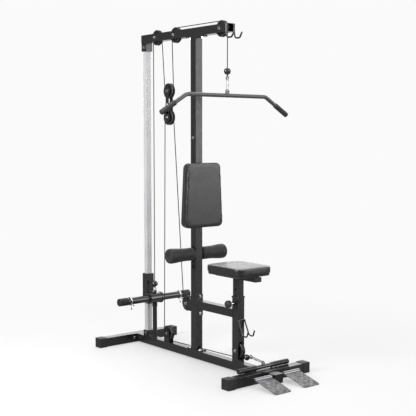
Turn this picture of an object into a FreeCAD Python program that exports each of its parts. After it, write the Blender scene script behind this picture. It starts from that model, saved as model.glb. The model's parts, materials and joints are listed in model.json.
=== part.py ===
import FreeCAD, Part
import math
import os
import re
import Sketcher

# Cable tower: a plate-loaded machine with a high pulley and a low pulley on one upright.
# Frame: X to the right seen from the seat, -Y towards the user's feet, +Y to the weight rail,
# Z up.  The origin is on the floor at the middle of the footprint.  Lengths in millimetres.

VEC = FreeCAD.Vector
ROT = FreeCAD.Rotation
PLACE = FreeCAD.Placement

DIMENSIONS = {
    # square tubes and their places
    "tube": 50.0, "wall": 2.5, "upright_y": 106.0, "base_z": 34.0,
    "foot_tube": 56.0, "foot_z": 30.5, "foot_half": 306.0, "front_foot_y": -526.0,
    "rear_foot_y": 743.5, "cap_outer": 61.0, "cap_length": 47.0, "cap_end": 6.0,
    "plate": 6.0, "flange_half": 62.0, "flange_bolt_x": 46.0,
    "upright_split": 1330.0, "joiner_half": 70.0, "joint_bolt": 30.0,
    "beam_z": 1991.0, "beam_front": -206.0, "beam_rear": 643.0,
    "top_plate_half": 75.0, "foot_plate_half": 62.0, "hole_spacing": 40.0,
    # cables and pulleys
    "cable_radius": 2.7, "pitch_radius": 44.8, "groove_radius": 41.8, "pulley_radius": 48.0,
    "pulley_half": 11.0, "web_half": 5.0, "hub_radius": 12.0, "hub_half": 13.0,
    "bore_radius": 5.3, "axle_radius": 5.0, "slot_half": 14.0, "slot_gap": 4.0,
    "rear_top_y": 498.0, "mid_top_y": 303.0, "front_top_y": -135.0,
    "float_y": 378.0, "float_upper_z": 1652.0, "float_lower_z": 1488.0,
    "base_rear_y": 393.0, "base_rear_z": 112.0, "base_front_y": -284.0, "base_front_z": 127.0,
    "mid_y": 191.0, "mid_z": 337.0, "side_plate": 4.0, "side_plate_x": 14.0,
    # guide rail and carriage
    "rail_y": 615.0, "rail": 34.0, "rail_wall": 2.0, "rail_low": 59.5, "rail_high": 1965.5,
    "rail_joint": 1150.0, "socket": 46.0, "socket_low_top": 97.0, "socket_high_low": 1913.0,
    "carriage": 53.0, "carriage_wall": 3.0, "carriage_low": 278.0, "carriage_high": 474.0,
    "bush_gap": 0.5, "bush_length": 40.0, "weight_z": 320.0, "hub_outer": 33.0,
    "hub_width": 40.0, "collar_plate": 10.0, "flange_radius": 36.0, "sleeve_radius": 22.5,
    "sleeve_end": 215.0, "sleeve_cap_radius": 24.5, "bar_end": 280.0, "stop_radius": 14.5,
    "bumper_radius": 17.0, "bumper_height": 24.0, "rest_gap": 0.4, "rail_ball_z": 413.0,
    "clip_x": 196.0, "clip_wire": 2.2, "clip_turns": 3.0,
    # lat bar
    "ball_radius": 21.0, "lat_ball_z": 1744.0, "lat_bar_z": 1605.0, "lat_bend_x": 300.0,
    "lat_end_x": 474.0, "lat_end_z": 1500.0, "lat_radius": 12.0, "lat_bend_radius": 60.0,
    "lat_grip": 110.0, "lat_grip_radius": 15.5, "lat_tab_top": 1641.0,
    # seat
    "seat_y": -280.0, "seat_post_top": 437.0, "bush_top": 447.0, "inner_post": 44.0,
    "inner_low": 300.0, "support_low": 548.0, "support_top": 575.0, "support_half": 22.0,
    "support_front": -450.0, "support_rear": -104.0, "seat_half": 133.0, "seat_front": -439.0,
    "seat_rear": -127.0, "board": 10.0, "seat_top": 628.0, "board_inset": 7.0, "seat_corner": 48.0,
    "seat_frame_z": 345.0, "pin_z": 407.0, "pin_radius": 5.0, "knob_radius": 22.0,
    "knob_out": 92.0, "knob_in": 62.0, "boss_radius": 11.0, "boss_out": 44.0,
    # back pad and rollers
    "pad_low": 820.0, "pad_high": 1212.0, "pad_half_low": 145.0, "pad_half_high": 125.0,
    "pad_face": 25.0, "pad_corner": 34.0, "roller_z": 655.0, "roller_in": 34.0,
    "roller_out": 214.0, "roller_end_radius": 45.0, "roller_mid_radius": 39.0,
    "rod_radius": 11.0, "roller_core": 11.4,
    # low pulley handle
    "row_bar_z": 74.5, "row_bar_y": -496.0, "row_half": 188.0, "row_radius": 12.0,
    "row_grip_radius": 15.0, "row_grip": 132.0, "row_ball_y": -357.0, "row_ball_z": 99.0,
    "row_ball_radius": 18.0, "eye_ring": 10.0, "eye_wire": 2.4, "hook_ring": 9.0,
    "hook_wire": 2.5,
    # wire hooks
    "beam_hook_wire": 4.6, "beam_hook_bend": 19.0, "seat_hook_wire": 4.4,
    "seat_hook_bend": 15.0, "seat_hook_half": 24.0, "seat_hook_z": 311.0, "wire_gap": 0.1,
    # footrest
    "stub_half": 30.0, "stub_front": -624.0, "stub_low": 4.0, "stub_top": 56.0,
    "shaft_y": -606.0, "shaft_z": 46.0, "shaft_radius": 8.0, "hinge_inner": 8.4,
    "hinge_outer": 11.5, "bracket_half": 57.0, "hinge_in": 48.0, "hinge_out": 170.0, "tread_in": 49.0,
    "tread_out": 169.0, "tread_thick": 4.0, "tread_tip_y": -772.9, "tread_tip_z": 0.4,
}

DOC = FreeCAD.newDocument("cable_tower")
SHEET = DOC.addObject("Spreadsheet::Sheet", "dims")
PARTS = {}


def fill_sheet():
    """Write every driving dimension into the sheet, one row each."""
    for row, (alias, number) in enumerate(DIMENSIONS.items(), start=1):
        SHEET.set(f"A{row}", alias)
        SHEET.set(f"B{row}", str(number))
        SHEET.setAlias(f"B{row}", alias)
    DOC.recompute()


def dim(alias):
    """A driving dimension, as the sheet holds it."""
    return float(SHEET.get(alias))


def bind(thing, prop, formula):
    """Bind a property to a formula written with the sheet's aliases."""
    words = re.sub(r"[a-z][a-z_]+", lambda w: "dims." + w.group()
                   if w.group() in DIMENSIONS else w.group(), formula)
    thing.setExpression(prop, words)


# ---------------------------------------------------------------- primitives and booleans

def box(name, x, y, z):
    """A box between two formulas on each axis."""
    made = DOC.addObject("Part::Box", name)
    for side, place, (low, high) in zip(("Length", "Width", "Height"), "xyz", (x, y, z)):
        bind(made, side, f"({high}) - ({low})")
        bind(made, f"Placement.Base.{place}", low)
    return made


AXIS_TURN = {"x": ROT(VEC(0, 1, 0), 90), "y": ROT(VEC(1, 0, 0), -90), "z": ROT()}


def cylinder(name, axis, radius, centre, low, high):
    """A cylinder along an axis; centre holds the other two coordinates, in X, Y, Z order."""
    made = DOC.addObject("Part::Cylinder", name)
    made.Placement = PLACE(VEC(), AXIS_TURN[axis])
    bind(made, "Radius", radius)
    bind(made, "Height", f"({high}) - ({low})")
    places = list(centre)
    places.insert("xyz".index(axis), low)
    for place, formula in zip("xyz", places):
        bind(made, f"Placement.Base.{place}", formula)
    return made


def cone(name, axis, radii, centre, low, high):
    """A cone along an axis, from the first radius at low to the second at high."""
    made = DOC.addObject("Part::Cone", name)
    made.Placement = PLACE(VEC(), AXIS_TURN[axis])
    bind(made, "Radius1", radii[0])
    bind(made, "Radius2", radii[1])
    bind(made, "Height", f"({high}) - ({low})")
    places = list(centre)
    places.insert("xyz".index(axis), low)
    for place, formula in zip("xyz", places):
        bind(made, f"Placement.Base.{place}", formula)
    return made


def rod(name, start, end, radius):
    """A cylinder from one point to another."""
    made = DOC.addObject("Part::Cylinder", name)
    bind(made, "Radius", radius)
    made.Height = (end - start).Length
    made.Placement = PLACE(start, ROT(VEC(0, 0, 1), end - start))
    return made


def ball(name, radius, centre):
    made = DOC.addObject("Part::Sphere", name)
    bind(made, "Radius", radius)
    made.Placement = PLACE(centre, ROT())
    return made


def ring(name, centre, normal, radius, wire):
    """A closed wire ring about a centre."""
    made = DOC.addObject("Part::Torus", name)
    bind(made, "Radius1", radius)
    bind(made, "Radius2", wire)
    made.Placement = PLACE(centre, ROT(VEC(0, 0, 1), normal))
    return made


def fuse(name, pieces):
    made = DOC.addObject("Part::MultiFuse", name)
    made.Shapes = list(pieces)
    return made


def cut(name, base, *tools):
    made = DOC.addObject("Part::Cut", name)
    made.Base = base
    made.Tool = tools[0] if len(tools) == 1 else fuse(name + "_tools", tools)
    return made


def group(name, pieces):
    """Separate solids that share a node."""
    made = DOC.addObject("Part::Compound", name)
    made.Links = list(pieces)
    return made


def keep(label, made):
    """Name an object as a finished sub-part."""
    made.Label = label
    PARTS[label] = made
    return made


def square(name, axis, outer, centre, low, high):
    """A square bar of the outer size along an axis."""
    half = f"({outer})/2"
    ranges = [(f"{c} - {half}", f"{c} + {half}") for c in centre]
    ranges.insert("xyz".index(axis), (low, high))
    return box(name, *ranges)


def square_tube(name, axis, outer, wall, centre, low, high, *holes):
    """A square tube open at both ends, with holes cut through it."""
    solid = square(name + "_outer", axis, outer, centre, low, high)
    bore = square(name + "_bore", axis, f"({outer}) - 2*{wall}", centre,
                  f"{low} - 1", f"{high} + 1")
    return cut(name, solid, bore, *holes)


# ---------------------------------------------------------------- PartDesign helpers

PLANES = {"XY": "XY_Plane", "XZ": "XZ_Plane", "YZ": "YZ_Plane"}


def body_of(name):
    return DOC.addObject("PartDesign::Body", name)


def origin_plane(body, plane):
    return next(o for o in body.Origin.OriginFeatures if o.Role == PLANES[plane])


def new_sketch(body, plane, name):
    sketch = body.newObject("Sketcher::SketchObject", name)
    sketch.AttachmentSupport = [(origin_plane(body, plane), "")]
    sketch.MapMode = "FlatFace"
    return sketch


def polygon(body, plane, name, corners):
    """A closed outline whose corners are pairs of formulas, each bound by its own constraint."""
    sketch = new_sketch(body, plane, name)
    count = len(corners)
    rough = [VEC(math.cos(2 * math.pi * k / count), math.sin(2 * math.pi * k / count), 0)
             for k in range(count)]
    for k in range(count):
        sketch.addGeometry(Part.LineSegment(rough[k], rough[(k + 1) % count]), False)
    for k in range(count):
        sketch.addConstraint(Sketcher.Constraint("Coincident", k, 2, (k + 1) % count, 1))
    for k, pair in enumerate(corners):
        for kind, formula, size in zip(("DistanceX", "DistanceY"), pair, rough[k]):
            number = sketch.addConstraint(Sketcher.Constraint(kind, -1, 1, k, 1, size or 0.5))
            bind(sketch, f"Constraints[{number}]", formula)
    return sketch


def pad(body, sketch, length, reverse=False, midplane=False):
    made = body.newObject("PartDesign::Pad", "pad")
    made.Profile = sketch
    bind(made, "Length", length)
    made.Reversed = reverse
    made.Midplane = midplane
    return made


def fillet(body, base, chosen, radius):
    """Round the edges of the base feature that chosen() picks."""
    DOC.recompute()
    names = [f"Edge{k}" for k, edge in enumerate(base.Shape.Edges, start=1) if chosen(edge)]
    made = body.newObject("PartDesign::Fillet", "fillet")
    made.Base = (base, names)
    bind(made, "Radius", radius)
    return made


def along(axis):
    """Picks straight edges parallel to an axis."""
    def chosen(edge):
        if edge.Curve.TypeId != "Part::GeomLine":
            return False
        return abs(abs(edge.Curve.Direction.dot(axis)) - 1) < 1e-6
    return chosen


def rounded_path(corners, radius):
    """Lines and arcs through flat corners, each inner corner rounded to the radius."""
    edges, start = [], corners[0]
    for before, corner, after in zip(corners, corners[1:], corners[2:]):
        one = (before - corner).normalize()
        two = (after - corner).normalize()
        half = one.getAngle(two) / 2
        back = radius / math.tan(half)
        middle = corner + (one + two).normalize() * (radius / math.sin(half) - radius)
        edges.append(Part.LineSegment(start, corner + one * back))
        edges.append(Part.Arc(corner + one * back, middle, corner + two * back))
        start = corner + two * back
    return edges + [Part.LineSegment(start, corners[-1])]


def bent_rod(name, plane, corners, bend, radius, place):
    """A round bar swept along a bent path that lies in one of its body's planes."""
    body = body_of(name)
    path = new_sketch(body, plane, name + "_path")
    edges = rounded_path([VEC(u, v, 0) for u, v in corners], bend)
    for edge in edges:
        path.addGeometry(edge, False)
    DOC.recompute()
    section = body.newObject("Sketcher::SketchObject", name + "_section")
    section.AttachmentSupport = [(path, "Edge1")]
    section.MapMode = "NormalToEdge"
    section.addGeometry(Part.Circle(VEC(), VEC(0, 0, 1), 1.0), False)
    number = section.addConstraint(Sketcher.Constraint("Radius", 0, 1.0))
    section.addConstraint(Sketcher.Constraint("Coincident", 0, 3, -1, 1))
    bind(section, f"Constraints[{number}]", radius)
    pipe = body.newObject("PartDesign::AdditivePipe", name + "_pipe")
    pipe.Profile = section
    pipe.Spine = (path, [f"Edge{k}" for k in range(1, len(edges) + 1)])
    body.Placement = place
    return body


# ---------------------------------------------------------------- cable geometry, in the YZ plane

CYCLE = ROT(VEC(1, 1, 1), 120)  # turns local X, Y, Z into Y, Z, X


def point(y, z, x=0.0):
    return VEC(x, y, z)


def tangent(start, start_side, end, end_side):
    """Where a straight cable leaves one pulley and meets the next.

    side is -1 where the cable goes anticlockwise round the pulley, seen with Y to the right
    and Z up, and +1 where it goes clockwise.
    """
    gap = end - start
    reach = math.hypot(gap.y, gap.z)
    turn = math.asin((start_side - end_side) * dim("pitch_radius") / reach)
    heading = math.atan2(gap.z, gap.y) - turn
    normal = point(-math.sin(heading), math.cos(heading)) * dim("pitch_radius")
    return start + normal * start_side, end + normal * end_side


def wrap(name, centre, arrives, leaves, side):
    """The arc of cable round a pulley, between two points on its pitch circle."""
    first, last = (arrives, leaves) if side < 0 else (leaves, arrives)
    angles = [math.degrees(math.atan2((p - centre).z, (p - centre).y)) for p in (first, last)]
    made = DOC.addObject("Part::Torus", name)
    bind(made, "Radius1", "pitch_radius")
    bind(made, "Radius2", "cable_radius")
    made.Angle3 = (angles[1] - angles[0]) % 360
    made.Placement = PLACE(centre, CYCLE * ROT(VEC(0, 0, 1), angles[0]))
    return made


def cable(name, start, end):
    return rod(name, start, end, "cable_radius")


# ---------------------------------------------------------------- base and uprights

def bolt(name, axis, centre, low, high):
    """A hex-headed through bolt with a washer and a nut, its faces at low and high."""
    washer, head = "10", "8.5"
    first = (f"{low} - 1.6", low)
    last = (high, f"{high} + 1.6")
    pieces = [cylinder(name + "_shank", axis, "axle_radius", centre, first[0], last[1]),
              cylinder(name + "_washer", axis, washer, centre, *first),
              cylinder(name + "_washer_far", axis, washer, centre, *last),
              hexagon(name + "_head", axis, head, centre, f"{first[0]} - 6", first[0]),
              hexagon(name + "_nut", axis, head, centre, last[1], f"{last[1]} + 7")]
    return fuse(name, pieces)


def hexagon(name, axis, radius, centre, low, high):
    made = DOC.addObject("Part::Prism", name)
    made.Polygon = 6
    made.Placement = PLACE(VEC(), AXIS_TURN[axis])
    bind(made, "Circumradius", radius)
    bind(made, "Height", f"({high}) - ({low})")
    places = list(centre)
    places.insert("xyz".index(axis), low)
    for place, formula in zip("xyz", places):
        bind(made, f"Placement.Base.{place}", formula)
    return made


def bolt_hole(name, axis, centre, low, high):
    return cylinder(name, axis, "axle_radius + 0.2", centre, low, high)


def make_feet():
    """The two cross tubes on the floor, their slip-on caps and the base tube between them."""
    caps = []
    for name, y in (("front_foot", "front_foot_y"), ("rear_foot", "rear_foot_y")):
        side = "+" if name == "front_foot" else "-"
        holes = [bolt_hole(f"{name}_hole_{k}", "y", (f"{sign}flange_bolt_x", "base_z"),
                           f"{y} - 40", f"{y} + 40") for k, sign in enumerate(("-", ""))]
        keep(name, square_tube(name, "x", "foot_tube", "wall", (y, "foot_z"),
                               "-foot_half", "foot_half", *holes))
        for end, sign in (("left", "-1"), ("right", "1")):
            caps.append(foot_cap(f"{name}_cap_{end}", y, int(sign)))
    return caps


def foot_cap(name, y, side):
    """A rubber cap that slips over a foot tube's end and closes it."""
    inner = "foot_half + 0.2"
    ends = ("foot_half - cap_length", "foot_half + cap_end")
    if side < 0:
        ends = (f"-({ends[1]})", f"-({ends[0]})")
    outer = square(name + "_outer", "x", "cap_outer", (y, "foot_z"), *ends)
    hollow = (f"{ends[0]} - 1", inner) if side > 0 else (f"-({inner})", f"{ends[1]} + 1")
    return cut(name, outer, square(name + "_hollow", "x", "foot_tube + 0.4",
                                   (y, "foot_z"), *hollow))


def make_base():
    """The base tube, and the plates that bolt it to the feet and the upright to it."""
    front = "front_foot_y + foot_tube/2"
    rear = "rear_foot_y - foot_tube/2"
    top = "base_z + tube/2"
    stud_holes = [bolt_hole(f"base_hole_{k}", "z", (x, y), "0", f"{top} + 1")
                  for k, (x, y) in enumerate(upright_studs())]
    keep("base_tube", square_tube("base_tube", "y", "tube", "wall", ("0", "base_z"),
                                  f"{front} + plate", f"{rear} - plate", *stud_holes))
    plates = []
    for name, low in (("front_flange", front), ("rear_flange", f"{rear} - plate")):
        blank = box(name + "_blank", ("-flange_half", "flange_half"),
                    (low, f"{low} + plate"), ("base_z - tube/2 + 1", top))
        holes = [bolt_hole(f"{name}_hole_{k}", "y", (f"{sign}flange_bolt_x", "base_z"),
                           f"{low} - 1", f"{low} + plate + 1") for k, sign in enumerate(("-", ""))]
        plates.append(cut(name, blank, *holes))
    foot = box("upright_foot_blank", ("-tube/2", "tube/2"),
               ("upright_y - foot_plate_half", "upright_y + foot_plate_half"),
               (top, f"{top} + plate"))
    holes = [bolt_hole(f"upright_foot_hole_{k}", "z", (x, y), top, f"{top} + plate + 1")
             for k, (x, y) in enumerate(upright_studs())]
    plates.append(cut("upright_foot", foot, *holes))
    return plates


def upright_studs():
    """The four bolts of the upright's foot plate."""
    return [(x, f"upright_y {sign} 47") for x in ("-12", "12") for sign in "-+"]


def make_upright():
    """The upright in two lengths, joined by a sleeve that is welded into the lower one."""
    low = "base_z + tube/2 + plate"
    high = "beam_z - tube/2 - plate"
    centre = ("0", "upright_y")
    cable_way = box("cable_way", ("-9", "9"), ("upright_y - tube", "upright_y + tube"),
                    (low, f"{low} + 19"))
    rod_holes = [cylinder(f"rod_hole_{k}", "x", "rod_radius + 0.2",
                          ("upright_y", f"roller_z + {k}*hole_spacing"), "-tube", "tube")
                 for k in (-2, -1, 0, 1)]
    plate_holes = [bolt_hole(f"seat_plate_hole_{k}", "y", ("0", z), "upright_y - tube",
                             "upright_y") for k, z in enumerate(SEAT_PLATE_BOLTS)]
    pad_holes = [bolt_hole(f"pad_hole_{k}", "y", ("0", z), "upright_y - tube",
                           "upright_y + tube") for k, z in enumerate(PAD_BOLTS)]
    anchor_hole = bolt_hole("anchor_hole", "y", ("0", "mid_z - pitch_radius"), "upright_y",
                            "upright_y + tube")
    tube = square_tube("lower_length", "z", "tube", "wall", centre, low, "upright_split",
                       cable_way, anchor_hole, *rod_holes, *plate_holes,
                       *pad_holes)
    sleeve_size = "tube - 2*wall - 0.6"
    joint_high = bolt_hole("joint_hole_high", "x", ("upright_y", "upright_split + joint_bolt"),
                           "-tube", "tube")
    sleeve = square_tube("joint_sleeve", "z", sleeve_size, "wall", centre,
                         "upright_split - joiner_half", "upright_split + joiner_half",
                         joint_high)
    weld = square_tube("joint_weld", "z", "tube - 2*wall", "1.5", centre,
                       "upright_split - joiner_half", "upright_split - joiner_half + 4")
    keep("upright_lower", fuse("upright_lower", (tube, sleeve, weld)))
    joint_top = bolt_hole("joint_hole_upper", "x", ("upright_y", "upright_split + joint_bolt"),
                          "-tube", "tube")
    keep("upright_upper", square_tube("upright_upper", "z", "tube", "wall", centre,
                                      "upright_split + 0.3", high, joint_top))


SEAT_PLATE_BOLTS = ("seat_frame_z - 57", "seat_frame_z + 49")
PAD_BOLTS = ("pad_low + 110", "pad_high - 110")
RAIL_BOLTS = ("base_z + tube/2 + 20", "beam_z - tube/2 - 28")


TOP_PULLEYS = ("rear_top_y", "mid_top_y", "front_top_y")


def make_beam():
    """The top beam with a slot through its top and bottom for each pulley."""
    holes = []
    for k, y in enumerate(TOP_PULLEYS):
        reach = "(pulley_radius + slot_gap)"
        holes.append(box(f"beam_slot_{k}", ("-slot_half", "slot_half"),
                         (f"{y} - {reach}", f"{y} + {reach}"),
                         ("beam_z - tube", "beam_z + tube")))
        holes.append(bolt_hole(f"beam_axle_{k}", "x", (y, "beam_z"), "-tube", "tube"))
    for k, (x, y) in enumerate(beam_studs()):
        holes.append(bolt_hole(f"beam_stud_{k}", "z", (x, y), "beam_z - tube", "beam_z"))
    keep("top_beam", square_tube("top_beam", "y", "tube", "wall", ("0", "beam_z"),
                                 "beam_front", "beam_rear", *holes))
    under = "beam_z - tube/2"
    blank = box("top_plate_blank", ("-tube/2", "tube/2"),
                ("upright_y - top_plate_half", "upright_y + top_plate_half"),
                (f"{under} - plate", under))
    holes = [bolt_hole(f"top_plate_hole_{k}", "z", (x, y), f"{under} - plate - 1", under)
             for k, (x, y) in enumerate(beam_studs())]
    return [cut("top_plate", blank, *holes)]


def beam_studs():
    return [("0", f"upright_y {sign} 58") for sign in "-+"]


def end_plug(name, low, high):
    """A plastic plug set a little way into the beam's open end."""
    return square(name, "y", "tube - 2*wall - 0.4", ("0", "beam_z"), low, high)


def make_rail():
    """The guide rail in two lengths on one sleeve, in a socket at each end."""
    centre = ("0", "rail_y")
    outer = square("rail_outer", "z", "rail", centre, "rail_low", "rail_high")
    bore = square("rail_bore", "z", "rail - 2*rail_wall", centre, "rail_low - 1",
                  "rail_high + 1")
    seam_outer = square("seam_outer", "z", "rail + 2", centre, "rail_joint", "rail_joint + 0.6")
    seam_inner = square("seam_inner", "z", "rail - 1", centre, "rail_joint - 1",
                        "rail_joint + 2")
    pins = [bolt_hole(f"rail_pin_hole_{k}", "x", ("rail_y", z), "-tube", "tube")
            for k, z in enumerate(RAIL_BOLTS)]
    seam = cut("rail_seam", seam_outer, seam_inner)
    keep("guide_rail", cut("guide_rail", outer, bore, seam, *pins))
    sockets = []
    for k, (name, low, high, size) in enumerate((
            ("base_socket", "base_z + tube/2", "socket_low_top", "socket"),
            ("top_socket", "socket_high_low", "beam_z - tube/2", "tube"))):
        solid = square(name + "_outer", "z", size, centre, low, high)
        hollow = square(name + "_hollow", "z", "rail + 0.4", centre, f"{low} - 1", f"{high} + 1")
        hole = bolt_hole(name + "_hole", "x", ("rail_y", RAIL_BOLTS[k]), "-tube", "tube")
        sockets.append(cut(name, solid, hollow, hole))
    make_stop_post()
    return sockets


def make_stop_post():
    """The post and rubber that the weight bar rests on."""
    hub_low = "weight_z - hub_outer - rest_gap"
    post_top = f"{hub_low} - bumper_height"
    post = cylinder("stop_tube", "z", "stop_radius", ("0", stop_y()),
                    "base_z + tube/2", post_top)
    bumper = cylinder("stop_rubber", "z", "bumper_radius", ("0", stop_y()), post_top, hub_low)
    keep("stop_post", group("stop_post", (post, bumper)))


def stop_y():
    """The weight bar and its stop hang straight under the rear pulley's far side."""
    return "rear_top_y + pitch_radius"


# ---------------------------------------------------------------- pulleys, axles, brackets

PULLEYS = {
    "rear_top_pulley": ("rear_top_y", "beam_z"),
    "mid_top_pulley": ("mid_top_y", "beam_z"),
    "front_top_pulley": ("front_top_y", "beam_z"),
    "float_upper_pulley": ("float_y", "float_upper_z"),
    "float_lower_pulley": ("float_y", "float_lower_z"),
    "base_rear_pulley": ("base_rear_y", "base_rear_z"),
    "base_front_pulley": ("base_front_y", "base_front_z"),
    "mid_pulley": ("mid_y", "mid_z"),
}


def make_pulley(name, place):
    """A grooved nylon pulley: hub, thin web and flanged rim, turned about its axle."""
    body = body_of(name)
    groove = "cable_radius + 0.3"
    half = [("bore_radius", "hub_half"), ("hub_radius", "hub_half"),
            ("hub_radius", "web_half"), ("groove_radius - 8", "web_half"),
            ("groove_radius - 6", "pulley_half"), ("pulley_radius", "pulley_half"),
            ("pulley_radius", "pulley_half - 2"), ("groove_radius + 1", groove),
            ("groove_radius", "1.4")]
    right = [(x, r) for r, x in half]
    left = [(f"-({x})", r) for x, r in reversed(right)]
    sketch = polygon(body, "XY", name + "_profile", right + left)
    turned = body.newObject("PartDesign::Revolution", name + "_turned")
    turned.Profile = sketch
    turned.ReferenceAxis = (sketch, ["H_Axis"])
    turned.Angle = 360
    for letter, formula in zip("yz", place):
        bind(body, f"Placement.Base.{letter}", formula)
    return keep(name, body)


def spaced_axle(name, place, face):
    """An axle bolt with a spacer each side that keeps the pulley central."""
    made = [bolt(name, "x", place, f"-({face})", face)]
    inner = f"({face}) - wall"
    for k, (low, high) in enumerate(((f"-({inner})", "-(hub_half + 0.4)"),
                                     ("hub_half + 0.4", inner))):
        made.append(cylinder(f"{name}_spacer_{k}", "x", "8", place, low, high))
    return fuse(name + "_set", made)


def plain_axle(name, place, face):
    return bolt(name, "x", place, f"-({face})", face)


def make_axles():
    """The bolts that the frame's own pulleys turn on."""
    outer = "side_plate_x + side_plate"
    axles = [spaced_axle(f"top_axle_{k}", (y, "beam_z"), "tube/2")
             for k, y in enumerate(TOP_PULLEYS)]
    axles.append(spaced_axle("base_front_axle", ("base_front_y", "base_front_z"), "tube/2"))
    axles.append(plain_axle("base_rear_axle", ("base_rear_y", "base_rear_z"), outer))
    axles.append(plain_axle("mid_axle", ("mid_y", "mid_z"), outer))
    keep("pulley_axles", group("pulley_axles", axles))


def make_brackets():
    """Side plates for the base pulley and the pulley behind the upright."""
    plates = []
    top = "base_z + tube/2"
    for side in (-1, 1):
        xs = side_plate_x(side)
        tag = "left" if side < 0 else "right"
        blank = box(f"base_bracket_blank_{tag}", xs, ("base_rear_y - 26", "base_rear_y + 26"),
                    (top, "base_rear_z"))
        crown = cylinder(f"base_bracket_crown_{tag}", "x", "26",
                         ("base_rear_y", "base_rear_z"), *xs)
        hole = bolt_hole(f"base_bracket_hole_{tag}", "x", ("base_rear_y", "base_rear_z"),
                         "-tube", "tube")
        plates.append(cut(f"base_bracket_{tag}", fuse(f"base_bracket_full_{tag}",
                                                      (blank, crown)), hole))
    rear = "upright_y + tube/2"
    cheeks = []
    for side in (-1, 1):
        xs = side_plate_x(side)
        tag = "left" if side < 0 else "right"
        cheeks.append(box(f"mid_cheek_{tag}", xs, (rear, "mid_y"),
                          ("mid_z - 24", "mid_z + 24")))
        cheeks.append(cylinder(f"mid_crown_{tag}", "x", "24", ("mid_y", "mid_z"), *xs))
    hole = bolt_hole("mid_bracket_hole", "x", ("mid_y", "mid_z"), "-tube", "tube")
    for side in (0, 2):
        plates.append(cut(f"mid_bracket_{side}", fuse(f"mid_bracket_full_{side}",
                                                      cheeks[side:side + 2]), hole))
    keep("pulley_brackets", group("pulley_brackets", plates))


def side_plate_x(side):
    """The span in X of a bracket's side plate on one side."""
    near, far = "side_plate_x", "side_plate_x + side_plate"
    return (f"-({far})", f"-{near}") if side < 0 else (near, far)


def make_float():
    """The floating block: two figure-of-eight plates that carry an upper and a lower pulley."""
    pieces = []
    middle = "(float_upper_z + float_lower_z)/2"
    for side in (-1, 1):
        xs = side_plate_x(side)
        tag = "left" if side < 0 else "right"
        ends = [cylinder(f"float_end_{tag}_{k}", "x", "27", ("float_y", z), *xs)
                for k, z in enumerate(("float_lower_z", "float_upper_z"))]
        neck = box(f"float_neck_{tag}", xs, ("float_y - 15", "float_y + 15"),
                   ("float_lower_z", "float_upper_z"))
        holes = [bolt_hole(f"float_hole_{tag}_{k}", "x", ("float_y", z), "-tube", "tube")
                 for k, z in enumerate(("float_lower_z", "float_upper_z", middle))]
        pieces.append(cut(f"float_plate_{tag}", fuse(f"float_blank_{tag}", ends + [neck]),
                          *holes))
    outer = "side_plate_x + side_plate"
    for k, z in enumerate(("float_lower_z", "float_upper_z")):
        pieces.append(plain_axle(f"float_axle_{k}", ("float_y", z), outer))
    tie = plain_axle("float_tie", ("float_y", middle), outer)
    spacer = cylinder("float_tie_spacer", "x", "9", ("float_y", middle),
                      "-side_plate_x", "side_plate_x")
    pieces.append(fuse("float_tie_set", (tie, spacer)))
    keep("float_block", group("float_block", pieces))


# ---------------------------------------------------------------- cables

def centres():
    """Each pulley's centre."""
    return {name: point(dim(y), dim(z)) for name, (y, z) in PULLEYS.items()}


def make_upper_cable():
    """From the carriage over the top, round the floating block and down to the lat bar."""
    at = centres()
    rear, upper = at["rear_top_pulley"], at["float_upper_pulley"]
    mid, front = at["mid_top_pulley"], at["front_top_pulley"]
    radius = dim("pitch_radius")
    up = rear + point(radius, 0)
    down = front - point(radius, 0)
    first = tangent(rear, -1, upper, 1)
    second = tangent(upper, 1, mid, -1)
    third = tangent(mid, -1, front, -1)
    keep("upper_cable_guided", group("upper_cable_guided", (
        wrap("wrap_rear_top", rear, up, first[0], -1),
        fuse("beam_top_run", (wrap("wrap_mid_top", mid, second[1], third[0], -1),
                              cable("run_along_beam", *third),
                              wrap("wrap_front_top", front, third[1], down, -1))))))
    ball_top = point(up.y, dim("rail_ball_z") + dim("ball_radius"))
    keep("upper_cable_rear_drop", cable("upper_cable_rear_drop", ball_top, up))
    lat_top = point(down.y, dim("lat_ball_z") + dim("ball_radius"))
    keep("upper_cable_front_drop", cable("upper_cable_front_drop", lat_top, down))
    return [cable("span_rear_to_float", *first), cable("span_float_to_mid", *second),
            wrap("wrap_float_upper", upper, first[1], second[0], 1)]


def row_line():
    """The low cable's last straight: where it leaves the front pulley, and its heading."""
    centre = centres()["base_front_pulley"]
    end = point(dim("row_ball_y"), dim("row_ball_z"))
    gap = end - centre
    reach = math.hypot(gap.y, gap.z)
    angle = math.atan2(gap.z, gap.y) + math.acos(dim("pitch_radius") / reach)
    leaves = centre + point(math.cos(angle), math.sin(angle)) * dim("pitch_radius")
    return leaves, (end - leaves).normalize()


def make_lower_cable():
    """From the row handle under the base, up over the floating block and down to its anchor."""
    at = centres()
    front, rear = at["base_front_pulley"], at["base_rear_pulley"]
    lower, mid = at["float_lower_pulley"], at["mid_pulley"]
    leaves, heading = row_line()
    along_base = tangent(front, -1, rear, -1)
    rising = tangent(rear, -1, lower, -1)
    falling = tangent(lower, -1, mid, 1)
    ferrule_end = point(dim("upright_y") + dim("tube") / 2 + 20, mid.z - dim("pitch_radius"))
    under_mid = mid - point(0, dim("pitch_radius"))
    keep("lower_cable_guided", group("lower_cable_guided", (
        fuse("base_run", (wrap("wrap_base_front", front, leaves, along_base[0], -1),
                          cable("run_along_base", *along_base),
                          wrap("wrap_base_rear", rear, along_base[1], rising[0], -1))),
        fuse("mid_run", (wrap("wrap_mid", mid, falling[1], under_mid, 1),
                         cable("run_to_anchor", under_mid, ferrule_end))))))
    ball_back = point(dim("row_ball_y"), dim("row_ball_z")) - heading * dim("row_ball_radius")
    keep("lower_cable_row_span", cable("lower_cable_row_span", ball_back, leaves))
    return [cable("span_base_to_float", *rising), cable("span_float_to_pulley", *falling),
            wrap("wrap_float_lower", lower, rising[1], falling[0], -1)]


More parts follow.
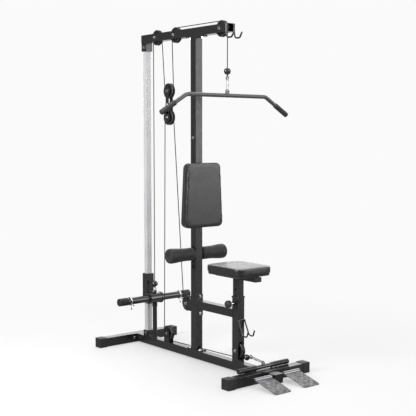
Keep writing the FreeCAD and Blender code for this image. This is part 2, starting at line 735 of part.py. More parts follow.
def ferrule():
    """The anchor stud that ends the lower cable in the upright's rear wall."""
    rear = "upright_y + tube/2"
    centre = ("0", "mid_z - pitch_radius")
    return fuse("cable_anchor", (
        cylinder("anchor_stud", "y", "axle_radius", centre, f"{rear} - 14", f"{rear} + 6"),
        hexagon("anchor_nut", "y", "9", centre, rear, f"{rear} + 6"),
        cylinder("anchor_ferrule", "y", "5.5", centre, f"{rear} + 6", f"{rear} + 20")))


# ---------------------------------------------------------------- carriage

def make_carriage():
    """The sleeve on the rail, its plastic bushes, and the bar that holds the weight plates."""
    centre = ("0", "rail_y")
    sleeve = square_tube("sleeve_tube", "z", "carriage", "carriage_wall", centre,
                         "carriage_low", "carriage_high")
    web = box("sleeve_web", ("-8", "8"), (f"{stop_y()} + 16", "rail_y - carriage/2 + 1"),
              ("weight_z - 26", "weight_z + 34"))
    bore = cylinder("web_relief", "x", "hub_outer + 0.05", (stop_y(), "weight_z"),
                    "-20", "20")
    keep("carriage_sleeve", fuse("carriage_sleeve", (sleeve, cut("web_plate", web, bore))))
    bushes = []
    for k, (low, high) in enumerate((("carriage_low", "carriage_low + bush_length"),
                                     ("carriage_high - bush_length", "carriage_high"))):
        outer = square(f"bush_outer_{k}", "z", "carriage - 2*carriage_wall", centre, low, high)
        inner = square(f"bush_inner_{k}", "z", "rail + 2*bush_gap", centre, f"{low} - 1",
                       f"{high} + 1")
        bushes.append(cut(f"bush_{k}", outer, inner))
    keep("carriage_bushes", group("carriage_bushes", bushes))
    make_weight_bar()


def make_weight_bar():
    place = (stop_y(), "weight_z")
    hub = cylinder("bar_hub", "x", "hub_outer", place, "-hub_width", "hub_width")
    sleeve = cylinder("bar_sleeves", "x", "sleeve_radius", place, "-sleeve_end", "sleeve_end")
    core = cylinder("bar_core", "x", "sleeve_radius - 6", place, "-sleeve_end - 40",
                    "sleeve_end + 40")
    flanges = [cylinder(f"bar_flange_{k}", "x", "flange_radius", place, low, high)
               for k, (low, high) in enumerate((("-hub_width - collar_plate", "-hub_width"),
                                                ("hub_width", "hub_width + collar_plate")))]
    eye = box("bar_eye", ("-5", "5"), (f"{stop_y()} - 14", f"{stop_y()} + 14"),
              ("weight_z + hub_outer - 5", "weight_z + hub_outer + 20"))
    eye_hole = cylinder("bar_eye_hole", "x", "6", (stop_y(), "weight_z + hub_outer + 10"),
                        "-10", "10")
    solid = fuse("weight_bar_solid", [hub, sleeve, core, eye] + flanges)
    keep("weight_bar", cut("weight_bar", solid, eye_hole))
    caps = []
    for side in (-1, 1):
        tag = "left" if side < 0 else "right"
        ends = ("sleeve_end", "bar_end") if side > 0 else ("-bar_end", "-sleeve_end")
        hollow = ("sleeve_end - 1", "sleeve_end + 40.2")
        if side < 0:
            hollow = ("-sleeve_end - 40.2", "-sleeve_end + 1")
        outer = cylinder(f"bar_cap_outer_{tag}", "x", "sleeve_cap_radius", place, *ends)
        inner = cylinder(f"bar_cap_hollow_{tag}", "x", "sleeve_radius - 5.9", place, *hollow)
        caps.append(cut(f"bar_cap_{tag}", outer, inner))
    keep("weight_bar_caps", group("weight_bar_caps", caps))


def make_rail_stop():
    """The cable's ball on the carriage and the link that joins it to the bar's eye."""
    y = dim("rear_top_y") + dim("pitch_radius")
    z = dim("rail_ball_z")
    eye = dim("weight_z") + dim("hub_outer") + 10
    body = ball("rail_ball_body", "ball_radius", point(y, z))
    neck = rod("rail_ball_neck", point(y, z - dim("ball_radius") - 8), point(y, z), "5")
    shackle = shackle_link("rail_shackle", y, z - dim("ball_radius") - 10, eye)
    keep("carriage_cable_stop", fuse("carriage_cable_stop", [body, neck] + shackle))


def shackle_link(name, y, top, pin_z):
    """A bow shackle in the XZ plane: two legs, a bow at the top and a pin at the bottom."""
    leg = 9.0
    wire = "2.6"
    pieces = [rod(f"{name}_leg_{k}", point(y, pin_z - 3, x), point(y, top, x), wire)
              for k, x in enumerate((-leg, leg))]
    pieces.append(rod(f"{name}_bow", point(y, top, -leg - 2), point(y, top, leg + 2), "3"))
    pieces.append(rod(f"{name}_pin", point(y, pin_z, -leg - 5), point(y, pin_z, leg + 5), "4"))
    return pieces


def make_collar(name, side):
    """A spring collar: wound wire with two ears, gripping the sleeve."""
    place = (stop_y(), "weight_z")
    half = "clip_wire*clip_turns"
    low, high = f"{side}*clip_x - {half}", f"{side}*clip_x + {half}"
    outer = cylinder(name + "_outer", "x", "sleeve_radius + 0.3 + 2*clip_wire", place, low, high)
    inner = cylinder(name + "_inner", "x", "sleeve_radius + 0.3", place, f"{low} - 1",
                     f"{high} + 1")
    coil = cut(name + "_coil", outer, inner)
    ears = []
    y, z, x = dim("rear_top_y") + dim("pitch_radius"), dim("weight_z"), side * dim("clip_x")
    reach = dim("sleeve_radius") + dim("clip_wire")
    for k, lean in enumerate((-25, 25)):
        turn = math.radians(lean - 130)
        way = point(math.cos(turn), math.sin(turn))
        start = point(y, z, x + (4.0 if k else -4.0)) + way * reach
        ears.append(rod(f"{name}_ear_{k}", start, start + way * 30, "clip_wire"))
    keep(name, fuse(name, [coil] + ears))


# ---------------------------------------------------------------- lat bar

def lat_y():
    return dim("front_top_y") - dim("pitch_radius")


def ball_and_eye(name, radius, start, heading, normal):
    """A cable's end ball with its neck and an eye, and the eye's centre."""
    size = dim(radius)
    centre = start + heading * (size + 8 + dim("eye_ring"))
    pieces = (ball(name + "_ball", radius, start),
              rod(name + "_neck", start, start + heading * (size + 8), "4.5"),
              ring(name + "_eye", centre, normal, "eye_ring", "eye_wire"))
    return fuse(name, pieces), centre


def make_lat():
    """The high cable's ball and snap hook, and the angled bar with its grips."""
    y, z = lat_y(), dim("lat_ball_z")
    stop, eye = ball_and_eye("lat_cable_stop", "ball_radius", point(y, z), VEC(0, 0, -1),
                             VEC(0, 1, 0))
    keep("lat_cable_stop", stop)
    tab_hole = point(y, dim("lat_tab_top") - 11)
    keep("lat_hook", snap_hook("lat_hook", eye, tab_hole, VEC(1, 0, 0)))
    corners = [(-dim("lat_end_x"), dim("lat_end_z")), (-dim("lat_bend_x"), dim("lat_bar_z")),
               (dim("lat_bend_x"), dim("lat_bar_z")), (dim("lat_end_x"), dim("lat_end_z"))]
    bar = bent_rod("lat_tube", "XZ", corners, dim("lat_bend_radius"), "lat_radius",
                   PLACE(VEC(0, y, 0), ROT()))
    tab = box("lat_tab", ("-14", "14"), (f"{y} - 3", f"{y} + 3"),
              ("lat_bar_z + lat_radius - 3", "lat_tab_top"))
    hole = cylinder("lat_tab_hole", "y", "7", ("0", "lat_tab_top - 11"), f"{y} - 9", f"{y} + 9")
    keep("lat_bar", fuse("lat_bar", (bar, cut("lat_tab_drilled", tab, hole))))
    grips = [bar_grip(f"lat_grip_{k}", corners[end], corners[near])
             for k, (end, near) in enumerate(((0, 1), (3, 2)))]
    keep("lat_grips", group("lat_grips", grips))


def bar_grip(name, end, bend):
    """A rubber grip pushed over the sloping end of the lat bar, closed at the tip."""
    tip = point(lat_y(), end[1], end[0])
    inward = (point(lat_y(), bend[1], bend[0]) - tip).normalize()
    outer = rod(name + "_outer", tip - inward * 4, tip + inward * dim("lat_grip"),
                "lat_grip_radius")
    inner = rod(name + "_inner", tip - inward * 0.2, tip + inward * (dim("lat_grip") + 1),
                "lat_radius + 0.1")
    return cut(name, outer, inner)


def snap_hook(name, first, last, normal):
    """A flat oval snap hook through two eyes, given by the middles of their holes."""
    way = (last - first).normalize()
    across = way.cross(normal)
    radius = dim("hook_ring")
    middles = (first + way * (radius - 1), last - way * (radius - 3))
    pieces = []
    for k, (middle, outward) in enumerate(zip(middles, (way * -1, way))):
        bow = DOC.addObject("Part::Torus", f"{name}_bow_{k}")
        bind(bow, "Radius1", "hook_ring")
        bind(bow, "Radius2", "hook_wire")
        bow.Angle3 = 180
        bow.Placement = PLACE(middle, ROT(outward.cross(normal), outward, normal, "ZYX"))
        pieces.append(bow)
    for k, side in enumerate((-radius, radius)):
        pieces.append(rod(f"{name}_leg_{k}", middles[0] + across * side,
                          middles[1] + across * side, "hook_wire"))
    return fuse(name, pieces)


# ---------------------------------------------------------------- seat

def rounded_board(name, plane_z, thick, corner, inset="0"):
    """A board with the seat's outline, or one a little inside it, with rounded corners."""
    body = body_of(name)
    half = f"seat_half - {inset}"
    front, rear = f"seat_front + {inset}", f"seat_rear - {inset}"
    outline = [(f"-({half})", front), (half, front), (half, rear), (f"-({half})", rear)]
    base = pad(body, polygon(body, "XY", name + "_outline", outline), thick)
    fillet(body, base, along(VEC(0, 0, 1)), corner)
    bind(body, "Placement.Base.z", plane_z)
    return body


def make_seat():
    """The inner post with its support tube, the board and the pad."""
    centre = ("0", "seat_y")
    pin_holes = [cylinder(f"inner_hole_{k}", "x", "pin_radius + 0.4",
                          ("seat_y", f"pin_z + {k}*hole_spacing"), "-tube", "0")
                 for k in (-2, -1, 0, 1, 2)]
    post = square_tube("inner_post_tube", "z", "inner_post", "wall", centre, "inner_low",
                       "support_low", *pin_holes)
    rail_outer = box("support_outer", ("-support_half", "support_half"),
                     ("support_front", "support_rear"), ("support_low", "support_top"))
    rail_inner = box("support_inner", ("-support_half + 2", "support_half - 2"),
                     ("support_front - 1", "support_rear + 1"),
                     ("support_low + 2", "support_top - 2"))
    screw_holes = [cylinder(f"support_hole_{k}", "z", "4.2", spot, "support_low - 1",
                            "support_top + 1") for k, spot in enumerate(seat_screws())]
    rail = cut("support_rail", rail_outer, rail_inner, *screw_holes)
    welded = fuse("seat_support_welded", (post, rail))
    keep("seat_support", group("seat_support", [welded] + seat_fittings()))
    board = rounded_board("seat_board_blank", "support_top", "board",
                          "seat_corner - board_inset", "board_inset")
    holes = [cylinder(f"board_hole_{k}", "z", "4.2", spot, "support_top - 1",
                      "support_top + board + 1") for k, spot in enumerate(seat_screws())]
    keep("seat_board", cut("seat_board", board, *holes))
    keep("seat_pad", rounded_board("seat_pad", "support_top + board",
                                   "seat_top - support_top - board", "seat_corner"))


def seat_screws():
    return [("0", "seat_y - 95"), ("0", "seat_y + 95")]


def seat_fittings():
    """End plugs of the support tube and the screws that hold the board."""
    pieces = []
    for k, (face, sign) in enumerate((("support_front", 1), ("support_rear", -1))):
        lip = sorted((0, -3 * sign))
        stem = sorted((0, 14 * sign))
        pieces.append(fuse(f"support_plug_{k}", (
            box(f"support_lip_{k}", ("-support_half", "support_half"),
                (f"{face} + {lip[0]}", f"{face} + {lip[1]}"), ("support_low", "support_top")),
            box(f"support_stem_{k}", ("-support_half + 2.2", "support_half - 2.2"),
                (f"{face} + {stem[0]}", f"{face} + {stem[1]}"),
                ("support_low + 2.2", "support_top - 2.2")))))
    for k, spot in enumerate(seat_screws()):
        pieces.append(fuse(f"seat_screw_{k}", (
            cylinder(f"seat_screw_shank_{k}", "z", "4", spot, "support_low",
                     "support_top + board"),
            cylinder(f"seat_screw_head_{k}", "z", "7", spot, "support_low - 4",
                     "support_low"))))
    return pieces


def make_seat_frame():
    """The outer seat post, its bush, the tube to the upright, and the pin's boss."""
    low = "base_z + tube/2"
    centre = ("0", "seat_y")
    slot = box("pulley_slot", ("-slot_half", "slot_half"), ("seat_y - tube", "seat_y + tube"),
               ("base_front_z - pulley_radius - slot_gap",
                "base_front_z + pulley_radius + slot_gap"))
    axle = bolt_hole("base_front_hole", "x", ("base_front_y", "base_front_z"), "-tube", "tube")
    pin_way = cylinder("pin_way", "x", "pin_radius + 0.3", ("seat_y", "pin_z"),
                       "-boss_out - 1", "-inner_post/2")
    post = square_tube("post_tube", "z", "tube", "wall", centre, low, "seat_post_top", slot,
                       axle, pin_way)
    boss_way = cylinder("boss_way", "x", "pin_radius + 0.3", ("seat_y", "pin_z"),
                        "-boss_out - 1", "0")
    boss = cut("pin_boss", cylinder("pin_boss_solid", "x", "boss_radius",
                                    ("seat_y", "pin_z"), "-boss_out", "-tube/2"), boss_way)
    keep("seat_post", fuse("seat_post", (post, boss)))
    collar = square("bush_collar", "z", "tube + 5", centre, "seat_post_top", "bush_top")
    liner = square("bush_liner", "z", "tube - 2*wall - 0.2", centre,
                   "seat_post_top - 14", "seat_post_top")
    hollow = square("bush_hollow", "z", "inner_post + 0.6", centre, "seat_post_top - 20",
                    "bush_top + 1")
    keep("seat_post_bush", cut("seat_post_bush", fuse("bush_solid", (collar, liner)), hollow))
    front = "upright_y - tube/2"
    tube = square_tube("seat_frame_run", "y", "tube", "wall", ("0", "seat_frame_z"),
                       "seat_y + tube/2", f"{front} - plate")
    blank = box("seat_frame_plate", ("-tube/2", "tube/2"), (f"{front} - plate", front),
                ("seat_frame_z - 70", "seat_frame_z + 62"))
    holes = [bolt_hole(f"frame_plate_hole_{k}", "y", ("0", z), f"{front} - plate - 1", front)
             for k, z in enumerate(SEAT_PLATE_BOLTS)]
    keep("seat_frame_tube", fuse("seat_frame_tube", (tube, cut("drilled_plate", blank,
                                                               *holes))))


def make_pin():
    """The pull pin that locks the seat: knob, neck and plunger."""
    place = ("seat_y", "pin_z")
    pieces = [cylinder("pin_plunger", "x", "pin_radius", place, "-knob_in - 2",
                       "-inner_post/2 - 0.5"),
              cylinder("pin_neck", "x", "9.5", place, "-knob_in", "-boss_out - 0.6"),
              cylinder("pin_knob", "x", "knob_radius", place, "-knob_out + 5", "-knob_in - 3"),
              cone("pin_knob_face", "x", ("knob_radius - 4", "knob_radius"), place,
                   "-knob_out", "-knob_out + 5"),
              cone("pin_knob_back", "x", ("knob_radius", "knob_radius - 5"), place,
                   "-knob_in - 3", "-knob_in")]
    keep("seat_pin", fuse("seat_pin", pieces))


# ---------------------------------------------------------------- back pad and rollers

def tapered_board(name, y, thick, shrink):
    """A board that narrows upwards, with rounded corners; y is its rear face."""
    body = body_of(name)
    low, high = f"pad_low + {shrink}", f"pad_high - {shrink}"
    outline = [(f"-pad_half_low + {shrink}", low), (f"pad_half_low - {shrink}", low),
               (f"pad_half_high - {shrink}", high), (f"-pad_half_high + {shrink}", high)]
    base = pad(body, polygon(body, "XZ", name + "_outline", outline), thick)
    fillet(body, base, along(VEC(0, 1, 0)), "pad_corner")
    bind(body, "Placement.Base.y", y)
    return body


def make_back_pad():
    """The ply board bolted to the upright and the pad on it; both stand in front."""
    rear = "upright_y - tube/2"
    board = tapered_board("back_board_blank", rear, "board", 4)
    holes = [bolt_hole(f"back_board_hole_{k}", "y", ("0", z), f"{rear} - board - 1",
                       f"{rear} + 1") for k, z in enumerate(PAD_BOLTS)]
    keep("back_pad_board", cut("back_pad_board", board, *holes))
    keep("back_pad", tapered_board("back_pad", f"{rear} - board",
                                   f"{rear} - board - pad_face", 0))


def make_rollers():
    """The rod through the upright, and a waisted foam roller on each side of it."""
    place = ("upright_y", "roller_z")
    pieces = [cylinder("roller_bar", "x", "rod_radius", place, "-roller_out + 6",
                       "roller_out - 6")]
    for k, side in enumerate((-1, 1)):
        ends = ("tube/2 + 0.3", "tube/2 + 8") if side > 0 else ("-tube/2 - 8", "-tube/2 - 0.3")
        pieces.append(cylinder(f"roller_stop_{k}", "x", "18", place, *ends))
    keep("roller_rod", fuse("roller_rod", pieces))
    for name, side in (("roller_left", -1), ("roller_right", 1)):
        body = body_of(name)
        quarter = "(roller_out - roller_in)/4"
        outline = [("roller_in", "roller_core"), ("roller_out - 4", "roller_core"),
                   ("roller_out - 4", "0"), ("roller_out", "0"),
                   ("roller_out", "roller_end_radius - 6"),
                   ("roller_out - 6", "roller_end_radius"),
                   (f"roller_out - {quarter}", "roller_end_radius - 1"),
                   (f"roller_in + 2*{quarter}", "roller_mid_radius"),
                   (f"roller_in + {quarter}", "roller_mid_radius"),
                   ("roller_in", "roller_mid_radius + 1")]
        if side < 0:
            outline = [(f"-({x})", r) for x, r in reversed(outline)]
        turned = body.newObject("PartDesign::Revolution", name + "_turned")
        turned.Profile = polygon(body, "XY", name + "_profile", outline)
        turned.ReferenceAxis = (turned.Profile[0], ["H_Axis"])
        turned.Angle = 360
        bind(body, "Placement.Base.y", "upright_y")
        bind(body, "Placement.Base.z", "roller_z")
        keep(name, body)


# ---------------------------------------------------------------- hooks

def make_hooks():
    """Two wire hooks at the beam's front end and a double one on the seat post."""
    wire = dim("beam_hook_wire")
    side = dim("tube") / 2 + wire + dim("wire_gap")
    front, top = dim("beam_front"), dim("beam_z")
    outline = [(front + 2, top + 20), (front + 2, top - 24), (front - 6, top - 58),
               (front - 46, top - 60), (front - 64, top - 31)]
    made = []
    for k, x in enumerate((-side, side)):
        made.append(bent_rod(f"beam_hook_{k}", "YZ", outline, dim("beam_hook_bend"),
                             str(wire),
                             PLACE(VEC(x, 0, 0), ROT())))
    wire, half, high = dim("seat_hook_wire"), dim("seat_hook_half"), dim("seat_hook_z")
    face = dim("seat_y") - dim("tube") / 2 - wire - dim("wire_gap")
    leg = [(face, high), (face - 4, high - 14), (face - 38, high - 85), (face - 72, high - 89),
           (face - 84, high - 55)]
    legs = [bent_rod(f"seat_hook_leg_{k}", "YZ", leg, dim("seat_hook_bend"), str(wire),
                     PLACE(VEC(x, 0, 0), ROT())) for k, x in enumerate((-half, half))]
    cross = rod("seat_hook_cross", point(face, high, -half), point(face, high, half),
                str(wire))
    knuckles = [ball(f"seat_hook_knuckle_{k}", str(wire), point(face, high, x))
                for k, x in enumerate((-half, half))]
    made.append(fuse("seat_hook", [cross] + legs + knuckles))
    keep("accessory_hooks", group("accessory_hooks", made))


# ---------------------------------------------------------------- low handle

def make_row():
    """The low cable's ball and snap hook, and the straight bar with its grips."""
    heading = row_line()[1]
    start = point(dim("row_ball_y"), dim("row_ball_z"))
    stop, eye = ball_and_eye("row_cable_stop", "row_ball_radius", start, heading,
                             VEC(1, 0, 0))
    keep("row_cable_stop", stop)
    tab_hole = point(dim("row_bar_y") + 4, dim("row_bar_z") + 22)
    across = (tab_hole - eye).cross(VEC(1, 0, 0)).normalize()
    keep("row_hook", snap_hook("row_hook", eye, tab_hole, across))
    place = ("row_bar_y", "row_bar_z")
    bar = cylinder("row_tube", "x", "row_radius", place, "-row_half", "row_half")
    tab = box("row_tab", ("-3", "3"), ("row_bar_y - 12", "row_bar_y + 14"),
              ("row_bar_z + row_radius - 3", "row_bar_z + 31"))
    hole = cylinder("row_tab_hole", "x", "6.5", ("row_bar_y + 4", "row_bar_z + 22"),
                    "-10", "10")
    keep("row_bar", fuse("row_bar", (bar, cut("row_tab_drilled", tab, hole))))
    grips = []
    for k, (low_x, high_x, inner) in enumerate((
            ("-row_half - 4", "-row_half + row_grip", ("-row_half", "-row_half + row_grip + 1")),
            ("row_half - row_grip", "row_half + 4", ("row_half - row_grip - 1", "row_half")))):
        outer = cylinder(f"row_grip_outer_{k}", "x", "row_grip_radius", place, low_x, high_x)
        hollow = cylinder(f"row_grip_inner_{k}", "x", "row_radius + 0.1", place,
                          f"{inner[0]} - 0.2", f"{inner[1]} + 0.2")
        grips.append(cut(f"row_grip_{k}", outer, hollow))
    keep("row_grips", group("row_grips", grips))


# ---------------------------------------------------------------- footrest

def make_footrest():
    """The bracket over the front foot, its stub and shaft, and the two hinged treads."""
    face = "front_foot_y - foot_tube/2"
    top = "foot_z + foot_tube/2"
    stub = box("stub", ("-stub_half", "stub_half"), ("stub_front", f"{face} - plate"),
               ("stub_low", "stub_top"))
    half = ("-bracket_half", "bracket_half")
    front = box("bracket_front", half, (f"{face} - plate", face), ("stub_low", top))
    saddle = box("bracket_saddle", half, (f"{face} - plate", f"{face} + 20"),
                 (top, f"{top} + 4"))
    holes = [bolt_hole(f"bracket_hole_{k}", "y", (f"{sign}flange_bolt_x", "base_z"),
                       f"{face} - plate - 1", face) for k, sign in enumerate(("-", ""))]
    shaft = cylinder("hinge_shaft", "x", "shaft_radius", ("shaft_y", "shaft_z"),
                     "-hinge_out - 3", "hinge_out + 3")
    ends = [cylinder(f"hinge_stop_{k}", "x", "shaft_radius + 3", ("shaft_y", "shaft_z"),
                     low, high)
            for k, (low, high) in enumerate((("-hinge_out - 6", "-hinge_out - 1"),
                                             ("hinge_out + 1", "hinge_out + 6")))]
    solid = fuse("footrest_solid", [stub, front, saddle, shaft] + ends)
    keep("footrest_bracket", cut("footrest_bracket", solid, *holes))
    for name, side in (("foot_plate_left", -1), ("foot_plate_right", 1)):
        make_tread(name, side)


def make_tread(name, side):
    """A tread plate welded to a hinge tube, sloping down to the floor in front."""
    hinge = point(dim("shaft_y"), dim("shaft_z"))
    tip = point(dim("tread_tip_y"), dim("tread_tip_z"))
    slope = math.degrees(math.atan2(hinge.z - tip.z, hinge.y - tip.y))
    reach = "-sqrt((shaft_y - tread_tip_y)^2 + (shaft_z - tread_tip_z)^2)"
    near, far = ("tread_in", "tread_out") if side > 0 else ("-tread_out", "-tread_in")
    body = body_of(name + "_body")
    outline = [(near, "-9"), (near, reach), (far, reach), (far, "-9")]
    base = pad(body, polygon(body, "XY", name + "_outline", outline), "tread_thick")
    fillet(body, base, lambda e: along(VEC(0, 0, 1))(e) and e.Vertexes[0].Y < -20, "12")
    body.Placement = PLACE(hinge, ROT(VEC(1, 0, 0), slope))
    ends = ("hinge_in", "hinge_out") if side > 0 else ("-hinge_out", "-hinge_in")
    place = ("shaft_y", "shaft_z")
    knuckle = cylinder(name + "_knuckle", "x", "hinge_outer", place, *ends)
    bore = cylinder(name + "_bore", "x", "hinge_inner", place, f"{ends[0]} - 1",
                    f"{ends[1]} + 1")
    keep(name, cut(name, fuse(name + "_welded", (body, knuckle)), bore))


# ---------------------------------------------------------------- fasteners

def screw(name, axis, centre, tip, seat):
    """A hex screw from its tip to the face that its washer bears on, head beyond."""
    return fuse(name, (cylinder(name + "_shank", axis, "axle_radius", centre, tip, seat),
                       cylinder(name + "_washer", axis, "10", centre, seat, f"{seat} + 1.6"),
                       hexagon(name + "_head", axis, "8.5", centre, f"{seat} + 1.6",
                               f"{seat} + 8")))


def make_frame_bolts():
    """Every bolt that holds the frame together, and the lower cable's anchor stud."""
    bolts = [ferrule()]
    half = "foot_tube/2"
    for k, x in enumerate(("-flange_bolt_x", "flange_bolt_x")):
        bolts.append(bolt(f"front_foot_bolt_{k}", "y", (x, "base_z"),
                          f"front_foot_y - {half} - plate", f"front_foot_y + {half} + plate"))
        bolts.append(bolt(f"rear_foot_bolt_{k}", "y", (x, "base_z"),
                          f"rear_foot_y - {half} - plate", f"rear_foot_y - {half} + wall"))
    base_top = "base_z + tube/2"
    for k, spot in enumerate(upright_studs()):
        bolts.append(bolt(f"upright_stud_{k}", "z", spot, f"{base_top} - wall",
                          f"{base_top} + plate"))
    under = "beam_z - tube/2"
    for k, spot in enumerate(beam_studs()):
        bolts.append(bolt(f"beam_stud_bolt_{k}", "z", spot, f"{under} - plate",
                          f"{under} + wall"))
    bolts.append(bolt("upright_joint_bolt", "x", ("upright_y", "upright_split + joint_bolt"),
                      "-tube/2", "tube/2"))
    front = "upright_y - tube/2"
    for k, z in enumerate(SEAT_PLATE_BOLTS):
        bolts.append(bolt(f"seat_plate_bolt_{k}", "y", ("0", z), f"{front} - plate",
                          f"{front} + wall"))
    for k, z in enumerate(PAD_BOLTS):
        bolts.append(screw(f"pad_screw_{k}", "y", ("0", z), f"{front} - board + 1",
                           "upright_y + tube/2"))
    for k, (z, size) in enumerate(zip(RAIL_BOLTS, ("socket", "tube"))):
        bolts.append(bolt(f"rail_bolt_{k}", "x", ("rail_y", z), f"-{size}/2", f"{size}/2"))
    keep("frame_bolts", group("frame_bolts", bolts))


# ---------------------------------------------------------------- the whole tower

def build():
    """Make every sub-part."""
    caps = make_feet()
    plates = make_base()
    make_upright()
    plates += make_beam()
    plates += make_rail()
    keep("plates_and_sockets", group("plates_and_sockets", plates))
    caps.append(end_plug("beam_plug_rear", "beam_rear - 9", "beam_rear - 3"))
    keep("tube_end_caps", group("tube_end_caps", caps))
    for name, place in PULLEYS.items():
        make_pulley(name, place)
    make_axles()
    make_brackets()
    make_float()
    spans = make_upper_cable()
    more = make_lower_cable()
    keep("float_cable_spans", group("float_cable_spans", spans[:2] + more[:2]))
    keep("float_cable_wraps", group("float_cable_wraps", [spans[2], more[2]]))
    make_carriage()
    make_rail_stop()
    make_collar("collar_left", -1)
    make_collar("collar_right", 1)
    make_lat()
    make_seat()
    make_seat_frame()
    make_pin()
    make_back_pad()
    make_rollers()
    make_hooks()
    make_row()
    make_footrest()
    make_frame_bolts()


def check():
    """Stop if any object failed or any sub-part has no sound shape."""
    for thing in DOC.Objects:
        if {"Invalid", "Error"} & set(thing.State):
            raise RuntimeError(f"{thing.Name} failed: {thing.State}")
    for label, made in PARTS.items():
        if made.Shape.isNull() or not made.Shape.isValid() or not made.Shape.Solids:
            raise RuntimeError(f"{label} has no valid solid")


def export():
    """Write each sub-part to its own STEP file."""
    os.makedirs("parts", exist_ok=True)
    for label, made in PARTS.items():
        made.Shape.exportStep(os.path.join("parts", f"{label}.step"))


fill_sheet()
build()
DOC.recompute()
check()
export()
whole = FreeCAD.BoundBox()
for sub_part in PARTS.values():
    whole.add(sub_part.Shape.BoundBox)
print(len(PARTS), "sub-parts;", whole)
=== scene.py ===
import json
from contextlib import contextmanager
from math import acos, asin, atan2, ceil, cos, hypot, pi, radians, sin, tan

import bmesh
import bpy
from mathutils import Matrix, Vector
from mathutils.bvhtree import BVHTree
from mathutils.kdtree import KDTree


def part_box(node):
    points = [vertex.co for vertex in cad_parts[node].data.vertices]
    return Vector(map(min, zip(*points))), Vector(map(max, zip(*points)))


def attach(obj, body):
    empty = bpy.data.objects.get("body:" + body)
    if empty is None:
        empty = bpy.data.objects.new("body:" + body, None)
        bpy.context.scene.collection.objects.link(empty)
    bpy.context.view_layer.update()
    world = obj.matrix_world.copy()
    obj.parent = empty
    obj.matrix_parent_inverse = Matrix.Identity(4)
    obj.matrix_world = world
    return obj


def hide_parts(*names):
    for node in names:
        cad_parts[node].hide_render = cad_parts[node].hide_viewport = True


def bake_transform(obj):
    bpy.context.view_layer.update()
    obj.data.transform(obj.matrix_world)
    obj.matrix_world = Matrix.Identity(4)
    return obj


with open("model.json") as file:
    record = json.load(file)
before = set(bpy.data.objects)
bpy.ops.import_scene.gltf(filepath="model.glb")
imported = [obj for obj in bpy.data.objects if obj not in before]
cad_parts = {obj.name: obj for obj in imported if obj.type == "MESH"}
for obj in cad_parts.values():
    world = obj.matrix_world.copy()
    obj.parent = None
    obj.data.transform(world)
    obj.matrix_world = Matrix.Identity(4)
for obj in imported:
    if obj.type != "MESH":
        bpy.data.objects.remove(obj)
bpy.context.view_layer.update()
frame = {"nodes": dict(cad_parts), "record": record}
RECORD = frame["record"]
BODY_OF = {n: body for body, nodes in RECORD["behaviour"]["bodies"].items() for n in nodes}
SLOT_OF = {row["node"]: row["material_slot"] for row in RECORD["subparts"]}
MM = 0.001
WHITE = 0.955        # the studio's white, as the camera sees it
UPRIGHT_Y = 0.106
RAIL_Y = 0.615
SEAT_Y = -0.280
SEAT_FRAME_Z = 0.345
BASE_TOP = 0.059
PIN_Z = 0.407
ROLLER_Z = 0.655
WEIGHT_Z = 0.320
R_CABLE = 2.7 * MM
R_PITCH = 44.8 * MM  # of a cable round a pulley
# The (y, z) place of each pulley's middle.
SPOTS = {"rear_top": (0.498, 1.991), "mid_top": (0.303, 1.991), "front_top": (-0.135, 1.991),
         "float_upper": (0.378, 1.652), "float_lower": (0.378, 1.488),
         "base_rear": (0.393, 0.112), "base_front": (-0.284, 0.127), "mid": (0.191, 0.337)}
CARRIAGE_Y = SPOTS["rear_top"][0] + R_PITCH
LAT_Y = SPOTS["front_top"][0] - R_PITCH
ALONG_X = Vector((1, 0, 0))


# ---------------- camera, light, floor

def added(name, data):
    """A new object in the scene."""
    made = bpy.data.objects.new(name, data)
    bpy.context.collection.objects.link(made)
    return made


def make_camera():
    """In front of the tower, on its left, at head height."""
    data = bpy.data.cameras.new("camera")
    data.lens = 77.04
    data.sensor_width = 36.0
    data.clip_end = 60.0
    camera = added("camera", data)
    camera.location = (-3.3816, -4.1117, 1.3690)
    camera.rotation_euler = (radians(90 - 4.6), 0, radians(-39.46))
    bpy.context.scene.camera = camera


def area_light(name, place, target, size, power):
    data = bpy.data.lights.new(name, "AREA")
    data.shape = "RECTANGLE"
    data.size, data.size_y = size
    data.energy = power
    light = added(name, data)
    light.location = place
    way = Vector(target) - Vector(place)
    light.rotation_euler = way.to_track_quat("-Z", "Y").to_euler()


def add_node(tree, kind, sockets, **settings):
    """A shader node; sockets gives its inputs a plain value or another node's output."""
    made = tree.nodes.new("ShaderNode" + kind)
    for name, value in settings.items():
        setattr(made, name, value)
    for name, value in sockets.items():
        if isinstance(value, bpy.types.NodeSocket):
            tree.links.new(value, made.inputs[name])
        else:
            made.inputs[name].default_value = value
    return made


def remap(tree, value, low, high, to_low, to_high, curve="LINEAR"):
    """A value moved from one range to another."""
    sockets = {"Value": value, "From Min": low, "From Max": high, "To Min": to_low,
               "To Max": to_high}
    return add_node(tree, "MapRange", sockets, interpolation_type=curve).outputs["Result"]


def make_world():
    """A studio with a bright wall at the back right and a bright panel at the front right."""
    world = bpy.data.worlds.new("studio")
    bpy.context.scene.world = world
    world.use_nodes = True
    tree = world.node_tree
    way = tree.nodes.new("ShaderNodeTexCoord").outputs["Generated"]
    total = directed(tree, way, (0.1, 0.0, 1.0), 0.35, 0.95, 0.0, 0.45)
    for lobe in (((0.75, 0.65, 0.10), 0.45, 0.85, 0.22, 1.7),
                 ((0.57, -0.82, 0.10), 0.87, 0.97, 0.0, 3.2)):
        both = add_node(tree, "Math", {0: directed(tree, way, *lobe), 1: total}, operation="ADD")
        total = both.outputs["Value"]
    path = tree.nodes.new("ShaderNodeLightPath")
    seen = add_node(tree, "Mix", {"Factor": path.outputs["Is Camera Ray"], "A": total, "B": WHITE})
    tree.links.new(seen.outputs["Result"], tree.nodes["Background"].inputs["Color"])


